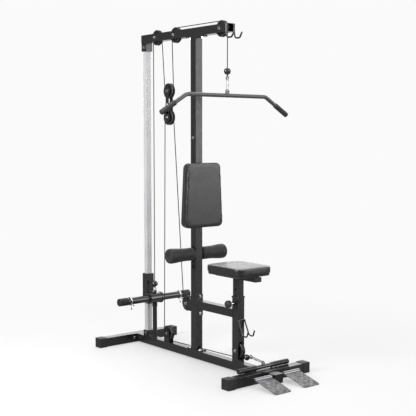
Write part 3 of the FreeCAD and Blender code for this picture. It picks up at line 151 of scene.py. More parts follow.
def directed(tree, way, axis, low, high, dark, bright):
    """Brightness that depends on how far a direction leans towards an axis."""
    axis = Vector(axis).normalized()
    lean = add_node(tree, "VectorMath", {0: way, 1: axis}, operation="DOT_PRODUCT")
    return remap(tree, lean.outputs["Value"], low, high, dark, bright, "SMOOTHSTEP")


def make_floor():
    """A wide pale floor that fades into the studio's white with distance."""
    bpy.ops.mesh.primitive_circle_add(vertices=96, radius=14.0, fill_type="NGON")
    floor = bpy.context.object
    floor.name = "floor"
    mat = bpy.data.materials.new("floor")
    mat.use_nodes = True
    tree = mat.node_tree
    shader = tree.nodes["Principled BSDF"]
    shader.inputs["Roughness"].default_value = 0.6
    shader.inputs["Specular IOR Level"].default_value = 0.15
    glow = tree.nodes.new("ShaderNodeEmission")
    place = tree.nodes.new("ShaderNodeTexCoord").outputs["Object"]
    reach = add_node(tree, "VectorMath", {0: place}, operation="LENGTH").outputs["Value"]
    fade = remap(tree, reach, 0.7, 2.6, 0.45, 1.0, "SMOOTHSTEP")
    camera_ray = tree.nodes.new("ShaderNodeLightPath").outputs["Is Camera Ray"]
    for seen, socket in ((0.66, shader.inputs["Base Color"]), (WHITE, glow.inputs["Color"])):
        sockets = {"Factor": camera_ray, "A": (0.30, 0.30, 0.30, 1), "B": (seen, seen, seen, 1)}
        bounce = add_node(tree, "Mix", sockets, data_type="RGBA")
        tree.links.new(bounce.outputs["Result"], socket)
    blend = add_node(tree, "MixShader", {"Fac": fade, 1: shader.outputs["BSDF"],
                                         2: glow.outputs["Emission"]})
    tree.links.new(blend.outputs["Shader"], tree.nodes["Material Output"].inputs["Surface"])
    floor.data.materials.append(mat)


def make_studio():
    make_camera()
    make_world()
    area_light("left", (-4.6, 0.2, 2.4), (0, 0, 1.1), (2.4, 2.4), 250)
    area_light("front", (-0.6, -4.4, 3.2), (0, 0, 1.2), (2.4, 2.0), 45)
    area_light("top", (0.4, 0.3, 4.4), (0, 0, 0), (3.4, 3.4), 70)
    make_floor()
    view = bpy.context.scene.view_settings
    view.view_transform = "Standard"
    view.look = "None"


# ---------------- materials

class Look:
    """A node material in the making."""

    def __init__(self, name, color, rough, metallic=0.0, coat=0.0, coat_rough=0.1,
                 specular=0.5):
        self.mat = bpy.data.materials.new(name)
        self.mat.use_nodes = True
        self.tree = self.mat.node_tree
        self.shader = self.tree.nodes["Principled BSDF"]
        self.place = self.tree.nodes.new("ShaderNodeTexCoord").outputs["Object"]
        self.normal = None
        for socket, value in (("Base Color", (*color, 1)), ("Roughness", rough),
                              ("Metallic", metallic), ("Coat Weight", coat),
                              ("Coat Roughness", coat_rough), ("Specular IOR Level", specular)):
            self.set(socket, value)

    def set(self, socket, value):
        self.shader.inputs[socket].default_value = value

    def link(self, output, socket):
        self.tree.links.new(output, self.shader.inputs[socket])

    def noise(self, scale, detail=3.0, stretch=None):
        """Soft noise; stretch scales the object's axes, for a grain with a direction."""
        place = self.place
        if stretch:
            scaled = add_node(self.tree, "Mapping", {"Scale": stretch, "Vector": place})
            place = scaled.outputs["Vector"]
        sockets = {"Scale": scale, "Detail": detail, "Roughness": 0.55, "Vector": place}
        return add_node(self.tree, "TexNoise", sockets).outputs["Fac"]

    def cells(self, scale):
        sockets = {"Scale": scale, "Vector": self.place}
        return add_node(self.tree, "TexVoronoi", sockets, feature="SMOOTH_F1").outputs["Distance"]

    def remap(self, value, low, high, to_low, to_high):
        return remap(self.tree, value, low, high, to_low, to_high)

    def mix(self, factor, first, second):
        """A colour between two, each a colour or another socket."""
        first, second = [(*c, 1) if isinstance(c, tuple) else c for c in (first, second)]
        sockets = {"Factor": factor, "A": first, "B": second}
        return add_node(self.tree, "Mix", sockets, data_type="RGBA").outputs["Result"]

    def multiply(self, first, second):
        both = add_node(self.tree, "Math", {0: first, 1: second}, operation="MULTIPLY")
        return both.outputs["Value"]

    def edges(self, radius):
        """1 on sharp edges, 0 on flat ground."""
        bevel = add_node(self.tree, "Bevel", {"Radius": radius}, samples=4)
        flat = self.tree.nodes.new("ShaderNodeNewGeometry")
        sockets = {0: bevel.outputs["Normal"], 1: flat.outputs["Normal"]}
        lean = add_node(self.tree, "VectorMath", sockets, operation="DOT_PRODUCT")
        return self.remap(lean.outputs["Value"], 1.0, 0.86, 0.0, 1.0)

    def paint(self, factor, first, second):
        self.link(self.mix(factor, first, second), "Base Color")

    def dull(self, scale, detail, low, high, stretch=None):
        """Roughness that drifts between two values."""
        patches = self.noise(scale, detail, stretch)
        self.link(self.remap(patches, 0.3, 0.7, low, high), "Roughness")

    def bump(self, height, strength, distance):
        sockets = {"Strength": strength, "Distance": distance, "Height": height}
        if self.normal:
            sockets["Normal"] = self.normal
        self.normal = add_node(self.tree, "Bump", sockets).outputs["Normal"]
        self.link(self.normal, "Normal")


def powder(name, dark, light, painted_edge_highlight_and_wear, rough=(0.24, 0.36), coat=0.25):
    """Satin powder coat: orange peel, faint mottling, and a painted edge highlight that also
    stands for wear.
    """
    look = Look(name, dark, rough[0], coat=coat, coat_rough=0.14)
    mottled = look.mix(look.noise(7.0), dark, light)
    # painted highlight: sharp edges get a lighter colour, broken up by noise; it also stands for
    # paint wear there
    painted_edge_highlight_and_wear_mask = look.multiply(look.edges(1.6 * MM), look.remap(look.noise(60.0), 0.42, 0.7, 0, 0.8))
    look.paint(painted_edge_highlight_and_wear_mask, mottled, painted_edge_highlight_and_wear)
    look.dull(34.0, 5.0, *rough)
    look.bump(look.noise(1250.0, 2.0), 0.08, 0.25 * MM)
    return look.mat


def zinc(name):
    """Bright zinc on drawn tube: long fine grain, soft spangle and faint rub marks."""
    look = Look(name, (0.56, 0.565, 0.57), 0.40, metallic=0.12, specular=0.4)
    grain = look.noise(60.0, 4.0, (9, 9, 0.10))
    clouds = look.noise(7.0, 3.0, (2, 2, 1))
    tone = look.mix(look.remap(grain, 0.3, 0.7, 0, 1), (0.50, 0.505, 0.515),
                    (0.64, 0.645, 0.65))
    look.paint(look.remap(clouds, 0.35, 0.7, 0.0, 0.4), tone, (0.43, 0.435, 0.445))
    look.dull(16.0, 4.0, 0.34, 0.48, (3, 3, 0.5))
    look.bump(grain, 0.06, 0.15 * MM)
    return look.mat


def vinyl(name):
    """Black upholstery vinyl: pebbled grain over soft creases."""
    look = Look(name, (0.020, 0.020, 0.021), 0.30, coat=0.2, coat_rough=0.22)
    pebbles = look.cells(520.0)
    tone = look.mix(look.remap(pebbles, 0.1, 0.7, 0, 1), (0.019, 0.019, 0.020),
                    (0.009, 0.009, 0.010))
    look.paint(look.remap(look.noise(9.0), 0.35, 0.7, 0, 0.5), tone, (0.022, 0.022, 0.023))
    look.dull(26.0, 4.0, 0.26, 0.38)
    look.bump(look.noise(38.0), 0.05, 0.8 * MM)
    look.bump(pebbles, 0.16, 0.25 * MM)
    return look.mat


def foam(name):
    """Closed-cell foam: dull skin with fine pits and a slight bloom."""
    look = Look(name, (0.017, 0.017, 0.018), 0.7, specular=0.4)
    look.set("Sheen Weight", 0.12)
    look.set("Sheen Roughness", 0.5)
    look.paint(look.noise(14.0, 4.0), (0.010, 0.010, 0.011), (0.020, 0.020, 0.021))
    look.dull(50.0, 4.0, 0.52, 0.74)
    look.bump(look.noise(55.0), 0.10, 0.8 * MM)
    look.bump(look.noise(900.0), 0.30, 0.25 * MM)
    return look.mat


def plastic(name, color, rough, coat=0.0, grain=0.12):
    """Moulded plastic, rubber or gloss paint: faint flow marks and a fine tool texture."""
    look = Look(name, color, rough, coat=coat, coat_rough=0.06)
    bright = tuple(1.5 * c + 0.004 for c in color)
    look.paint(look.remap(look.noise(30.0, 4.0), 0.4, 0.75, 0, 0.8), color, bright)
    look.dull(70.0, 3.0, 0.85 * rough, 1.2 * rough)
    look.bump(look.noise(800.0, 2.0), grain, 0.18 * MM)
    return look.mat


def chrome(name, color=(0.74, 0.75, 0.77), rough=(0.10, 0.24)):
    """Plated steel with faint handling haze."""
    look = Look(name, color, rough[0], metallic=1.0)
    look.paint(look.noise(120.0), color, tuple(0.82 * c for c in color))
    look.dull(45.0, 5.0, *rough)
    look.bump(look.noise(420.0), 0.06, 0.1 * MM)
    return look.mat


def tread_steel(name):
    """Grey plated plate, dark and light in random patches, with a painted highlight on sharp edges
    and the bars that also stands for wear.
    """
    look = Look(name, (0.10, 0.10, 0.105), 0.34, metallic=0.6)
    patches = look.remap(look.noise(45.0, 6.0), 0.35, 0.65, 0, 1)
    tone = look.mix(patches, (0.045, 0.045, 0.047), (0.20, 0.20, 0.205))
    # painted highlight: sharp edges, the bars' included, get a near-white colour broken up by
    # noise; it also stands for wear there
    look.paint(look.multiply(look.edges(1.0 * MM), look.noise(90.0)), tone, (0.72, 0.72, 0.73))
    look.dull(60.0, 4.0, 0.26, 0.46)
    look.bump(look.noise(700.0), 0.15, 0.2 * MM)
    return look.mat


def plywood(name):
    """Dark stained ply with its layers showing on the edge."""
    look = Look(name, (0.05, 0.045, 0.04), 0.7)
    look.paint(look.noise(18.0, 2.0, (1, 20, 20)), (0.012, 0.011, 0.010), (0.026, 0.024, 0.022))
    look.bump(look.noise(300.0, 4.0, (0.2, 1, 1)), 0.3, 0.3 * MM)
    return look.mat


def cable_jacket(name):
    """Black jacket over wire rope, slightly uneven."""
    look = Look(name, (0.012, 0.012, 0.013), 0.5, specular=0.22)
    look.paint(look.noise(200.0), (0.009, 0.009, 0.010), (0.020, 0.020, 0.021))
    look.dull(90.0, 3.0, 0.42, 0.58)
    look.bump(look.noise(1100.0, 2.0), 0.2, 0.15 * MM)
    return look.mat


GLOSS_BLACK = plastic("gloss_black_paint", (0.010, 0.010, 0.011), 0.18, coat=0.7, grain=0.03)
GLOSS_RUBBER = plastic("gloss_rubber", (0.012, 0.012, 0.013), 0.22, coat=0.4, grain=0.12)
BLACK_NICKEL = chrome("black_nickel", (0.07, 0.07, 0.073), (0.10, 0.20))
LINK_STEEL = chrome("link_steel", (0.30, 0.304, 0.312), (0.14, 0.28))
GREY_STEEL = powder("grey_steel", (0.13, 0.13, 0.135), (0.19, 0.19, 0.195),
                    (0.40, 0.40, 0.41), (0.30, 0.42), 0.1)
BAR_GREY = powder("bar_grey", (0.055, 0.055, 0.058), (0.075, 0.075, 0.078),
                  (0.22, 0.22, 0.23), (0.26, 0.36), 0.2)
LOOKS = {
    "powder_coat": powder("powder_coat", (0.009, 0.0092, 0.0096), (0.014, 0.0142, 0.0148),
                          (0.11, 0.11, 0.115)),
    "rail_zinc": zinc("rail_zinc"),
    "cap_rubber": plastic("cap_rubber", (0.009, 0.009, 0.010), 0.55, grain=0.3),
    "black_plastic": plastic("black_plastic", (0.018, 0.018, 0.019), 0.34),
    "board_plywood": plywood("board_plywood"),
    "vinyl": vinyl("vinyl"),
    "foam": foam("foam"),
    "grip_rubber": plastic("grip_rubber", (0.026, 0.026, 0.027), 0.5, grain=0.35),
    "pulley_nylon": plastic("pulley_nylon", (0.015, 0.015, 0.016), 0.36),
    "bright_steel": chrome("bright_steel"),
    "cable_jacket": cable_jacket("cable_jacket"),
    "stop_rubber": plastic("stop_rubber", (0.010, 0.010, 0.011), 0.16, coat=0.8, grain=0.03),
    "tread_steel": tread_steel("tread_steel"),
}


# ---------------- mesh helpers

@contextmanager
def edited(made):
    """A mesh object's bmesh, written back to it at the end."""
    work = bmesh.new()
    work.from_mesh(made.data)
    yield work
    work.to_mesh(made.data)
    work.free()


def mesh_object(name, points, faces, smooth=True):
    data = bpy.data.meshes.new(name)
    data.from_pydata([tuple(p) for p in points], [], faces)
    data.validate()
    made = added(name, data)
    with edited(made) as work:
        bmesh.ops.recalc_face_normals(work, faces=work.faces)
    data.shade_smooth() if smooth else data.shade_flat()
    return made


def round_angles(steps):
    return [2 * pi * i / steps for i in range(steps)]


def ring_faces(here, there, count, shift=0):
    """Faces between two rings of points, from the index where each ring starts."""
    return [(here + j, here + (j + 1) % count, there + (j + 1 + shift) % count,
             there + (j + shift) % count) for j in range(count)]


def stack(points, count):
    """Faces of a solid built of rings of points, closed at both ends."""
    faces = []
    for here in range(0, len(points) - count, count):
        faces += ring_faces(here, here + count, count)
    return faces + [tuple(range(count)), tuple(range(len(points) - count, len(points)))]


def placed(made, node, look=None, stands_for=()):
    """Give a finished piece its body and its material, by default the finish of its slot."""
    slot = SLOT_OF[node]
    made.data.materials.clear()
    made.data.materials.append(look or LOOKS[slot])
    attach(made, BODY_OF[node])
    if stands_for:
        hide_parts(*stands_for)


def joined(pieces, name):
    """Several mesh objects made into one."""
    with bpy.context.temp_override(active_object=pieces[0], object=pieces[0],
                                   selected_editable_objects=pieces,
                                   selected_objects=pieces):
        bpy.ops.object.join()
    pieces[0].name = name
    pieces[0].data.name = name
    return pieces[0]


def apply_modifiers(made):
    graph = bpy.context.evaluated_depsgraph_get()
    data = bpy.data.meshes.new_from_object(made.evaluated_get(graph))
    made.modifiers.clear()
    made.data = data


def edge_split(made, degrees):
    """Smooth shading that stays crisp over edges sharper than the angle."""
    limit = radians(degrees)
    with edited(made) as work:
        for edge in work.edges:
            edge.smooth = len(edge.link_faces) == 2 and edge.calc_face_angle(0) < limit
        for face in work.faces:
            face.smooth = True


def bevelled(made, width, segments, degrees, crisp, miter="MITER_SHARP"):
    """Round the edges sharper than an angle, then shade edges sharper than crisp as sharp."""
    bevel = made.modifiers.new("bevel", "BEVEL")
    bevel.width, bevel.segments, bevel.miter_outer = width, segments, miter
    bevel.limit_method, bevel.angle_limit = "ANGLE", radians(degrees)
    apply_modifiers(made)
    edge_split(made, crisp)


def turn_to(axis):
    """The rotation that takes +Z to an axis."""
    return Vector(axis).to_track_quat("Z", "Y").to_matrix().to_4x4()


def lathe(name, profile, centre, axis, steps, crisp):
    """Turn a closed profile of (along, radius) pairs in mm about an axis through a centre."""
    place = Matrix.Translation(centre) @ turn_to(axis)
    points, faces, count = [], [], len(profile)
    for i, angle in enumerate(round_angles(steps)):
        for along, radius in profile:
            reach = radius * MM
            points.append(place @ Vector((reach * cos(angle), reach * sin(angle),
                                          along * MM)))
        faces += ring_faces(i * count, (i + 1) % steps * count, count)
    made = mesh_object(name, points, faces)
    weld(made, 1e-6)
    edge_split(made, crisp)
    return made


def weld(made, distance):
    with edited(made) as work:
        bmesh.ops.remove_doubles(work, verts=work.verts, dist=distance)
        bmesh.ops.dissolve_degenerate(work, edges=work.edges, dist=distance)
        bmesh.ops.recalc_face_normals(work, faces=work.faces)


def sweep(name, path, radius, sides, closed=False):
    """A tube along points; radius is one number or a list with one for each point."""
    path = [Vector(p) for p in path]
    count = len(path)
    sizes = radius if isinstance(radius, list) else [radius] * count
    points, side = [], None
    for i, (spot, size) in enumerate(zip(path, sizes)):
        before = path[i - 1] if closed or i else spot
        after = path[(i + 1) % count] if closed or i < count - 1 else spot
        way = (after - before).normalized()
        if side is None:
            side = way.orthogonal().normalized()
        side = (side - way * side.dot(way)).normalized()
        other = way.cross(side)
        for angle in round_angles(sides):
            points.append(spot + (side * cos(angle) + other * sin(angle)) * size)
    faces = stack(points, sides)
    if closed:
        last = (count - 1) * sides
        gaps = [(points[last] - points[j]).length for j in range(sides)]
        faces[-2:] = ring_faces(last, 0, sides, gaps.index(min(gaps)))
    made = mesh_object(name, points, faces)
    edge_split(made, 50)
    return made


def arc(centre, radius, start, end, plane_u, plane_v, steps):
    """Points round part of a circle, angles in degrees."""
    made = []
    for i in range(steps + 1):
        angle = radians(start + (end - start) * i / steps)
        made.append(Vector(centre) + (Vector(plane_u) * cos(angle)
                                      + Vector(plane_v) * sin(angle)) * radius)
    return made


def rounded_path(corners, radius, steps):
    """A polyline with each inner corner turned into an arc."""
    corners = [Vector(c) for c in corners]
    made = [corners[0]]
    for before, corner, after in zip(corners, corners[1:], corners[2:]):
        back, on = (before - corner).normalized(), (after - corner).normalized()
        half = back.angle(on) / 2
        reach = radius / tan(half)
        reach = min(reach, 0.49 * (before - corner).length, 0.49 * (after - corner).length)
        size = reach * tan(half)
        middle = corner + (back + on).normalized() * (size / sin(half))
        first, last = corner + back * reach - middle, corner + on * reach - middle
        turn = first.angle(last)
        for i in range(steps + 1):
            share = i / steps
            made.append(middle + (first * sin((1 - share) * turn)
                                  + last * sin(share * turn)) / sin(turn))
    made.append(corners[-1])
    return made


def cut_up(path, longest):
    """The same path with no step longer than a limit."""
    made = [Vector(path[0])]
    for a, b in zip(path, path[1:]):
        parts = max(1, ceil((Vector(b) - Vector(a)).length / longest))
        made += [Vector(a).lerp(Vector(b), (i + 1) / parts) for i in range(parts)]
    return made


def rounded_copy(node, width, look=None, bright_beyond=0.0):
    """A CAD node's shape with its sharp edges rounded, standing for that node.

    Faces farther than bright_beyond from the middle plane are bolt heads, plated bright.
    """
    made = added(node + "_rounded", frame["nodes"][node].data.copy())
    with edited(made) as work:
        bmesh.ops.remove_doubles(work, verts=work.verts, dist=2e-6)
        bmesh.ops.dissolve_limit(work, angle_limit=radians(1.0), verts=work.verts,
                                 edges=work.edges)
        bmesh.ops.recalc_face_normals(work, faces=work.faces)
    bevelled(made, width, 3, 30, 32, "MITER_ARC")
    flatten = made.modifiers.new("normals", "WEIGHTED_NORMAL")
    flatten.weight = 80
    flatten.keep_sharp = True
    apply_modifiers(made)
    placed(made, node, look, stands_for=(node,))
    if bright_beyond:
        made.data.materials.append(LOOKS["bright_steel"])
        for face in made.data.polygons:
            if abs(face.center.x) > bright_beyond:
                face.material_index = 1


# ---------------- frame and fittings

# The radius in mm that each node's edges are rounded to.
ROUNDED = {
    "base_tube": 2.6, "front_foot": 3.0, "rear_foot": 3.0, "upright_lower": 2.6,
    "upright_upper": 2.6, "top_beam": 2.6, "guide_rail": 2.2, "seat_frame_tube": 1.6,
    "seat_post": 2.4, "carriage_sleeve": 2.4, "seat_support": 1.8, "footrest_bracket": 1.2,
    "plates_and_sockets": 1.0, "tube_end_caps": 2.6, "pulley_brackets": 0.8,
    "float_block": 0.8, "seat_post_bush": 1.2, "stop_post": 0.8, "weight_bar": 1.2,
    "weight_bar_caps": 2.4, "frame_bolts": 0.5, "pulley_axles": 0.5, "roller_rod": 0.8,
    "back_pad_board": 1.5, "seat_board": 1.5, "carriage_bushes": 0.6,
}


def make_frame():
    special = {"float_block": (None, 18.1 * MM), "weight_bar": (GLOSS_BLACK, 0.0),
               "weight_bar_caps": (LOOKS["cap_rubber"], 0.0)}
    for node, width in ROUNDED.items():
        look, beyond = special.get(node, (None, 0.0))
        rounded_copy(node, width * MM, look, beyond)


def domed(path, radius):
    """A wire's path and radii with a round tip added at each end."""
    turns = [radians(88 * i / 5) for i in range(1, 6)]
    ends = []
    for tip, inner in ((path[0], path[1]), (path[-1], path[-2])):
        way = (tip - inner).normalized() * radius
        ends.append([(tip + way * sin(a), radius * cos(a)) for a in turns])
    whole = ends[0][::-1] + [(spot, radius) for spot in path] + ends[1]
    return [spot for spot, _ in whole], [size for _, size in whole]


def wire(name, corners, bend, radius):
    """A bent wire with round tips through corners given in mm."""
    path = rounded_path([Vector(c) * MM for c in corners], bend * MM, 12)
    return sweep(name, *domed(path, radius * MM), 20)


def make_hooks():
    """The two hooks at the beam's front end and the double one on the seat post."""
    front, top, face, high = -206, 1991, -309.7, 311
    beam = [(front + 2, top + 20), (front + 2, top - 24), (front - 6, top - 58),
            (front - 46, top - 60), (front - 64, top - 31)]
    pieces = [wire(f"beam_hook_{k}", [(x, y, z) for y, z in beam], 19, 5.2)
              for k, x in enumerate((-30.5, 30.5))]
    leg = [(face, high), (face - 4, high - 14), (face - 38, high - 85), (face - 72, high - 89),
           (face - 84, high - 55)]
    seat = [(-24, y, z) for y, z in reversed(leg)] + [(24, y, z) for y, z in leg]
    pieces.append(wire("seat_hook", seat, 15, 4.4))
    placed(joined(pieces, "wire_hooks"), "accessory_hooks", GLOSS_BLACK,
           stands_for=("accessory_hooks",))


def weld_bead(name, node, path, size, look=None):
    """A closed, slightly rippled bead of a radius in mm."""
    sizes = [size * MM * (1 + 0.16 * sin(2.1 * i)) for i in range(len(path))]
    placed(sweep(name, path, sizes, 10, closed=True), node, look)


def rounded_path_closed(corners, radius):
    corners = [Vector(c) for c in corners]
    middle = (corners[-1] + corners[0]) / 2
    return rounded_path([middle] + corners + [middle], radius, 4)


def square_loop(centre, half, axis):
    """Corners of a square round a centre, across an axis."""
    u, v = [i for i in range(3) if i != axis]
    made = []
    for a, b in ((-1, -1), (1, -1), (1, 1), (-1, 1)):
        spot = list(centre)
        spot[u] += a * half
        spot[v] += b * half
        made.append(tuple(spot))
    return made


def make_welds():
    """Beads round the ends of the square tubes and the foot of the stop post."""
    lift = 0.8 * MM
    foot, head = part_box("upright_lower")[0].z + lift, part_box("upright_upper")[1].z - lift
    post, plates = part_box("seat_post")[0].z + lift, "plates_and_sockets"
    for name, node, centre, half, axis, size in (
            ("weld_upright_foot", plates, (0, UPRIGHT_Y, foot), 25.6, 2, 2.1),
            ("weld_upright_head", plates, (0, UPRIGHT_Y, head), 25.6, 2, 2.1),
            ("weld_seat_post_foot", "seat_post", (0, SEAT_Y, post), 25.6, 2, 2.1),
            ("weld_seat_frame_front", "seat_frame_tube", (0, -0.255 + lift, SEAT_FRAME_Z),
             25.6, 1, 2.1),
            ("weld_seat_frame_rear", "seat_frame_tube", (0, 0.075 - lift, SEAT_FRAME_Z),
             25.6, 1, 2.1),
            ("weld_base_socket", plates, (0, RAIL_Y, BASE_TOP + lift), 23.4, 2, 1.8)):
        outline = rounded_path_closed(square_loop(centre, half * MM, axis), 4 * MM)
        weld_bead(name, node, cut_up(outline, 1.3 * MM)[:-1], size)
    stop = arc((0, CARRIAGE_Y, BASE_TOP + lift), 15.4 * MM, 0, 352.5, (1, 0, 0), (0, 1, 0), 48)
    weld_bead("weld_stop_post", "stop_post", stop, 1.8, LOOKS["powder_coat"])


# ---------------- pulleys

def make_pulleys():
    """Grooved nylon wheels with a dished web, a metal bearing and spokes pressed in."""
    rim = [(-13.0, 5.4), (-13.0, 10.6), (-12.2, 12.0), (-6.6, 12.8), (-5.0, 14.6),
           (-4.6, 31.0), (-6.0, 34.0), (-9.4, 35.6), (-10.6, 37.4), (-10.9, 44.4),
           (-10.4, 46.6), (-9.2, 48.0), (-8.2, 47.6), (-3.6, 43.4), (-2.2, 42.2)]
    profile = rim + [(-a, r) for a, r in reversed(rim)]
    cap = [(12.7065, 5.5), (12.7065, 9.6), (13.1005, 10.2), (13.396, 9.8), (13.396, 5.5)]
    for node, slot in SLOT_OF.items():
        if slot != "pulley_nylon":
            continue
        low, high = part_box(node)
        centre = (low + high) / 2
        pieces = [lathe(node + "_wheel", profile, centre, (1, 0, 0), 96, 28)]
        pieces += [spoke(f"{node}_spoke_{k}", centre, 60 * k + 30) for k in range(6)]
        placed(joined(pieces, node + "_wheel"), node, stands_for=(node,))
        for tag, side in (("left", -1), ("right", 1)):
            bearing = lathe(f"{node}_bearing_{tag}", cap, centre, (side, 0, 0), 40, 30)
            placed(bearing, node, LOOKS["bright_steel"])


def spoke(name, centre, degrees):
    """A low rib on both sides of a pulley's web."""
    angle = radians(degrees)
    out = Vector((0, cos(angle), sin(angle)))
    side = Vector((0, -sin(angle), cos(angle)))
    points = []
    for reach, half in ((12.4, 2.6), (34.4, 1.9)):
        for x, w in ((-6.6, 0.7), (-6.6, -0.7), (6.6, -0.7), (6.6, 0.7)):
            points.append(centre + (out * reach + side * w * half + ALONG_X * x) * MM)
    return mesh_object(name, points, stack(points, 4), smooth=False)


# ---------------- cables

def tangent(start, start_side, end, end_side):
    """Where a straight cable leaves one pulley and meets the next, side as in the CAD."""
    (y0, z0), (y1, z1) = SPOTS[start], SPOTS[end]
    gap = hypot(y1 - y0, z1 - z0)
    heading = atan2(z1 - z0, y1 - y0) - asin((start_side - end_side) * R_PITCH / gap)
    across = (-sin(heading) * R_PITCH, cos(heading) * R_PITCH)
    return ((y0 + across[0] * start_side, z0 + across[1] * start_side),
            (y1 + across[0] * end_side, z1 + across[1] * end_side))


def wrapped(name, arrives, leaves, side):
    """Points round a pulley from where the cable arrives to where it leaves."""
    y, z = SPOTS[name]
    start = atan2(arrives[1] - z, arrives[0] - y)
    end = atan2(leaves[1] - z, leaves[0] - y)
    if side < 0:
        while end < start:
            end += 2 * pi
    else:
        while end > start:
            end -= 2 * pi
    steps = max(6, int(abs(end - start) / 0.06))
    return [(y + R_PITCH * cos(start + (end - start) * i / steps),
             z + R_PITCH * sin(start + (end - start) * i / steps))
            for i in range(steps + 1)]


def cable_piece(name, node, flat, stands_for=()):
    path = cut_up([(0, y, z) for y, z in flat], 40 * MM)
    placed(sweep(name, path, R_CABLE, 14), node, stands_for=stands_for)


def row_line():
    """Where the low cable leaves the front pulley, and its heading to the handle's ball."""
    y, z = SPOTS["base_front"]
    ball = (-0.357, 0.099)
    gap = hypot(ball[0] - y, ball[1] - z)
    angle = atan2(ball[1] - z, ball[0] - y) + acos(R_PITCH / gap)
    leaves = (y + R_PITCH * cos(angle), z + R_PITCH * sin(angle))
    run = Vector((0, ball[0] - leaves[0], ball[1] - leaves[1])).normalized()
    return leaves, run, Vector((0, *ball))


def stretching(name, node, start, end):
    """A straight span from the frame to a moving body, standing for a CAD node."""
    a, b = Vector((0, *start)), Vector((0, *end))
    made = sweep(name, [a.lerp(b, i / 90) for i in range(91)], R_CABLE, 14)
    made.data.materials.append(LOOKS["cable_jacket"])
    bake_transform(made)
    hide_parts(node)


def make_cables():
    first = tangent("rear_top", -1, "float_upper", 1)
    second = tangent("float_upper", 1, "mid_top", -1)
    third = tangent("mid_top", -1, "front_top", -1)
    up, down = (CARRIAGE_Y, SPOTS["rear_top"][1]), (LAT_Y, SPOTS["front_top"][1])
    upper, lower, wraps = "upper_cable_guided", "lower_cable_guided", "float_cable_wraps"
    cable_piece("cable_over_rear", upper, wrapped("rear_top", up, first[0], -1), (upper,))
    cable_piece("cable_along_beam", upper, wrapped("mid_top", second[1], third[0], -1)
                + wrapped("front_top", third[1], down, -1))
    stretching("cable_rear_drop", "upper_cable_rear_drop", up, (CARRIAGE_Y, 0.434))
    stretching("cable_front_drop", "upper_cable_front_drop", down, (LAT_Y, 1.765))
    leaves, run, ball = row_line()
    along = tangent("base_front", -1, "base_rear", -1)
    rising = tangent("base_rear", -1, "float_lower", -1)
    falling = tangent("float_lower", -1, "mid", 1)
    under = (SPOTS["mid"][0], SPOTS["mid"][1] - R_PITCH)
    cable_piece("cable_under_seat", lower, wrapped("base_front", leaves, along[0], -1)
                + wrapped("base_rear", along[1], rising[0], -1), (lower,))
    cable_piece("cable_to_anchor", lower, wrapped("mid", falling[1], under, 1)
                + [(0.151, under[1])])
    cable_piece("cable_round_float_upper", wraps,
                wrapped("float_upper", first[1], second[0], 1), (wraps,))
    cable_piece("cable_round_float_lower", wraps,
                wrapped("float_lower", rising[1], falling[0], -1))
    for name, start, end in (("span_rear", *first), ("span_mid", *reversed(second)),
                             ("span_rising", *rising), ("span_falling", *reversed(falling))):
        stretching(name, "float_cable_spans", start, end)
    end = ball - run * 18 * MM
    stretching("span_row", "lower_cable_row_span", leaves, (end.y, end.z))


# ---------------- cable ends and hooks

def cable_stop(name, node, centre, heading, size):
    """A moulded ball with a seam round it, open at both poles; size is its radius in mm."""
    turns = [pi * i / 40 for i in range(41)]
    profile = [(-size * cos(a), size * sin(a)) for a in turns]
    profile[0], profile[20], profile[40] = (-size, 2.646), (0, size + 0.35), (size, 4.4)
    placed(lathe(name + "_ball", profile, centre, heading, 64, 60), node, stands_for=(node,))


def eye_and_neck(name, node, centre, heading, size, normal):
    """The swaged sleeve and the ring at a ball's free end."""
    heading, turn = Vector(heading).normalized(), turn_to(normal)
    sleeve = [(0, 2.0), (0, 4.5), (6.4, 4.5), (8.0, 3.6), (8.0, 2.0)]
    neck = lathe(name + "_sleeve", sleeve, centre + heading * (size - 0.5) * MM, heading, 32, 35)
    eye = centre + heading * (size + 18) * MM
    loop = arc(eye, 10 * MM, 0, 352.5, turn @ Vector((1, 0, 0)), turn @ Vector((0, 1, 0)), 47)
    ring = sweep(name + "_ring", loop, 2.4 * MM, 14, closed=True)
    placed(joined([neck, ring], name + "_eye"), node, BLACK_NICKEL)
    return eye


def snap_hook(name, node, first, last, normal):
    """A wire snap hook with its hinged gate on one leg."""
    way = (last - first).normalized()
    across = way.cross(Vector(normal)).normalized()
    radius = 9 * MM
    a, b = first + way * (radius - 1 * MM), last - way * (radius - 3 * MM)
    path = arc(a, radius, 0, 180, across, -way, 20) + arc(b, radius, 180, 360, across, -way, 20)
    body = sweep(name + "_body", cut_up(path + [path[0]], 2 * MM)[:-1], 2.5 * MM, 14, closed=True)
    sleeve = [(-5.5, 2.3), (-5.5, 3.3), (-4.9, 3.7), (4.9, 3.7), (5.5, 3.3), (5.5, 2.3)]
    gate = lathe(name + "_gate", sleeve, (a + b) / 2 + across * radius, way, 24, 30)
    placed(joined([body, gate], name), node, LINK_STEEL, stands_for=(node,))


def make_shackle():
    """The bow shackle between the carriage's ball and the weight bar's eye."""
    leg, top, pin = 9 * MM, 0.3825, 0.363
    path = ([(-leg, CARRIAGE_Y, pin - 3 * MM), (-leg, CARRIAGE_Y, top)]
            + arc((0, CARRIAGE_Y, top), leg, 180, 0, (1, 0, 0), (0, 0, 1), 20)
            + [(leg, CARRIAGE_Y, pin - 3 * MM)])
    bow = sweep("carriage_shackle_bow", cut_up(path, 3 * MM), 2.7 * MM, 14)
    bolt = [(-13.5, 0.3), (-13.5, 5.6), (-9.0, 5.6), (-9.0, 3.8), (10.5, 3.8), (11.0, 5.2),
            (13.8, 5.2), (14.0, 0.3)]
    pin = lathe("carriage_shackle_pin", bolt, (0, CARRIAGE_Y, pin), (1, 0, 0), 24, 35)
    placed(joined([bow, pin], "carriage_shackle"), "carriage_cable_stop",
           LOOKS["bright_steel"])


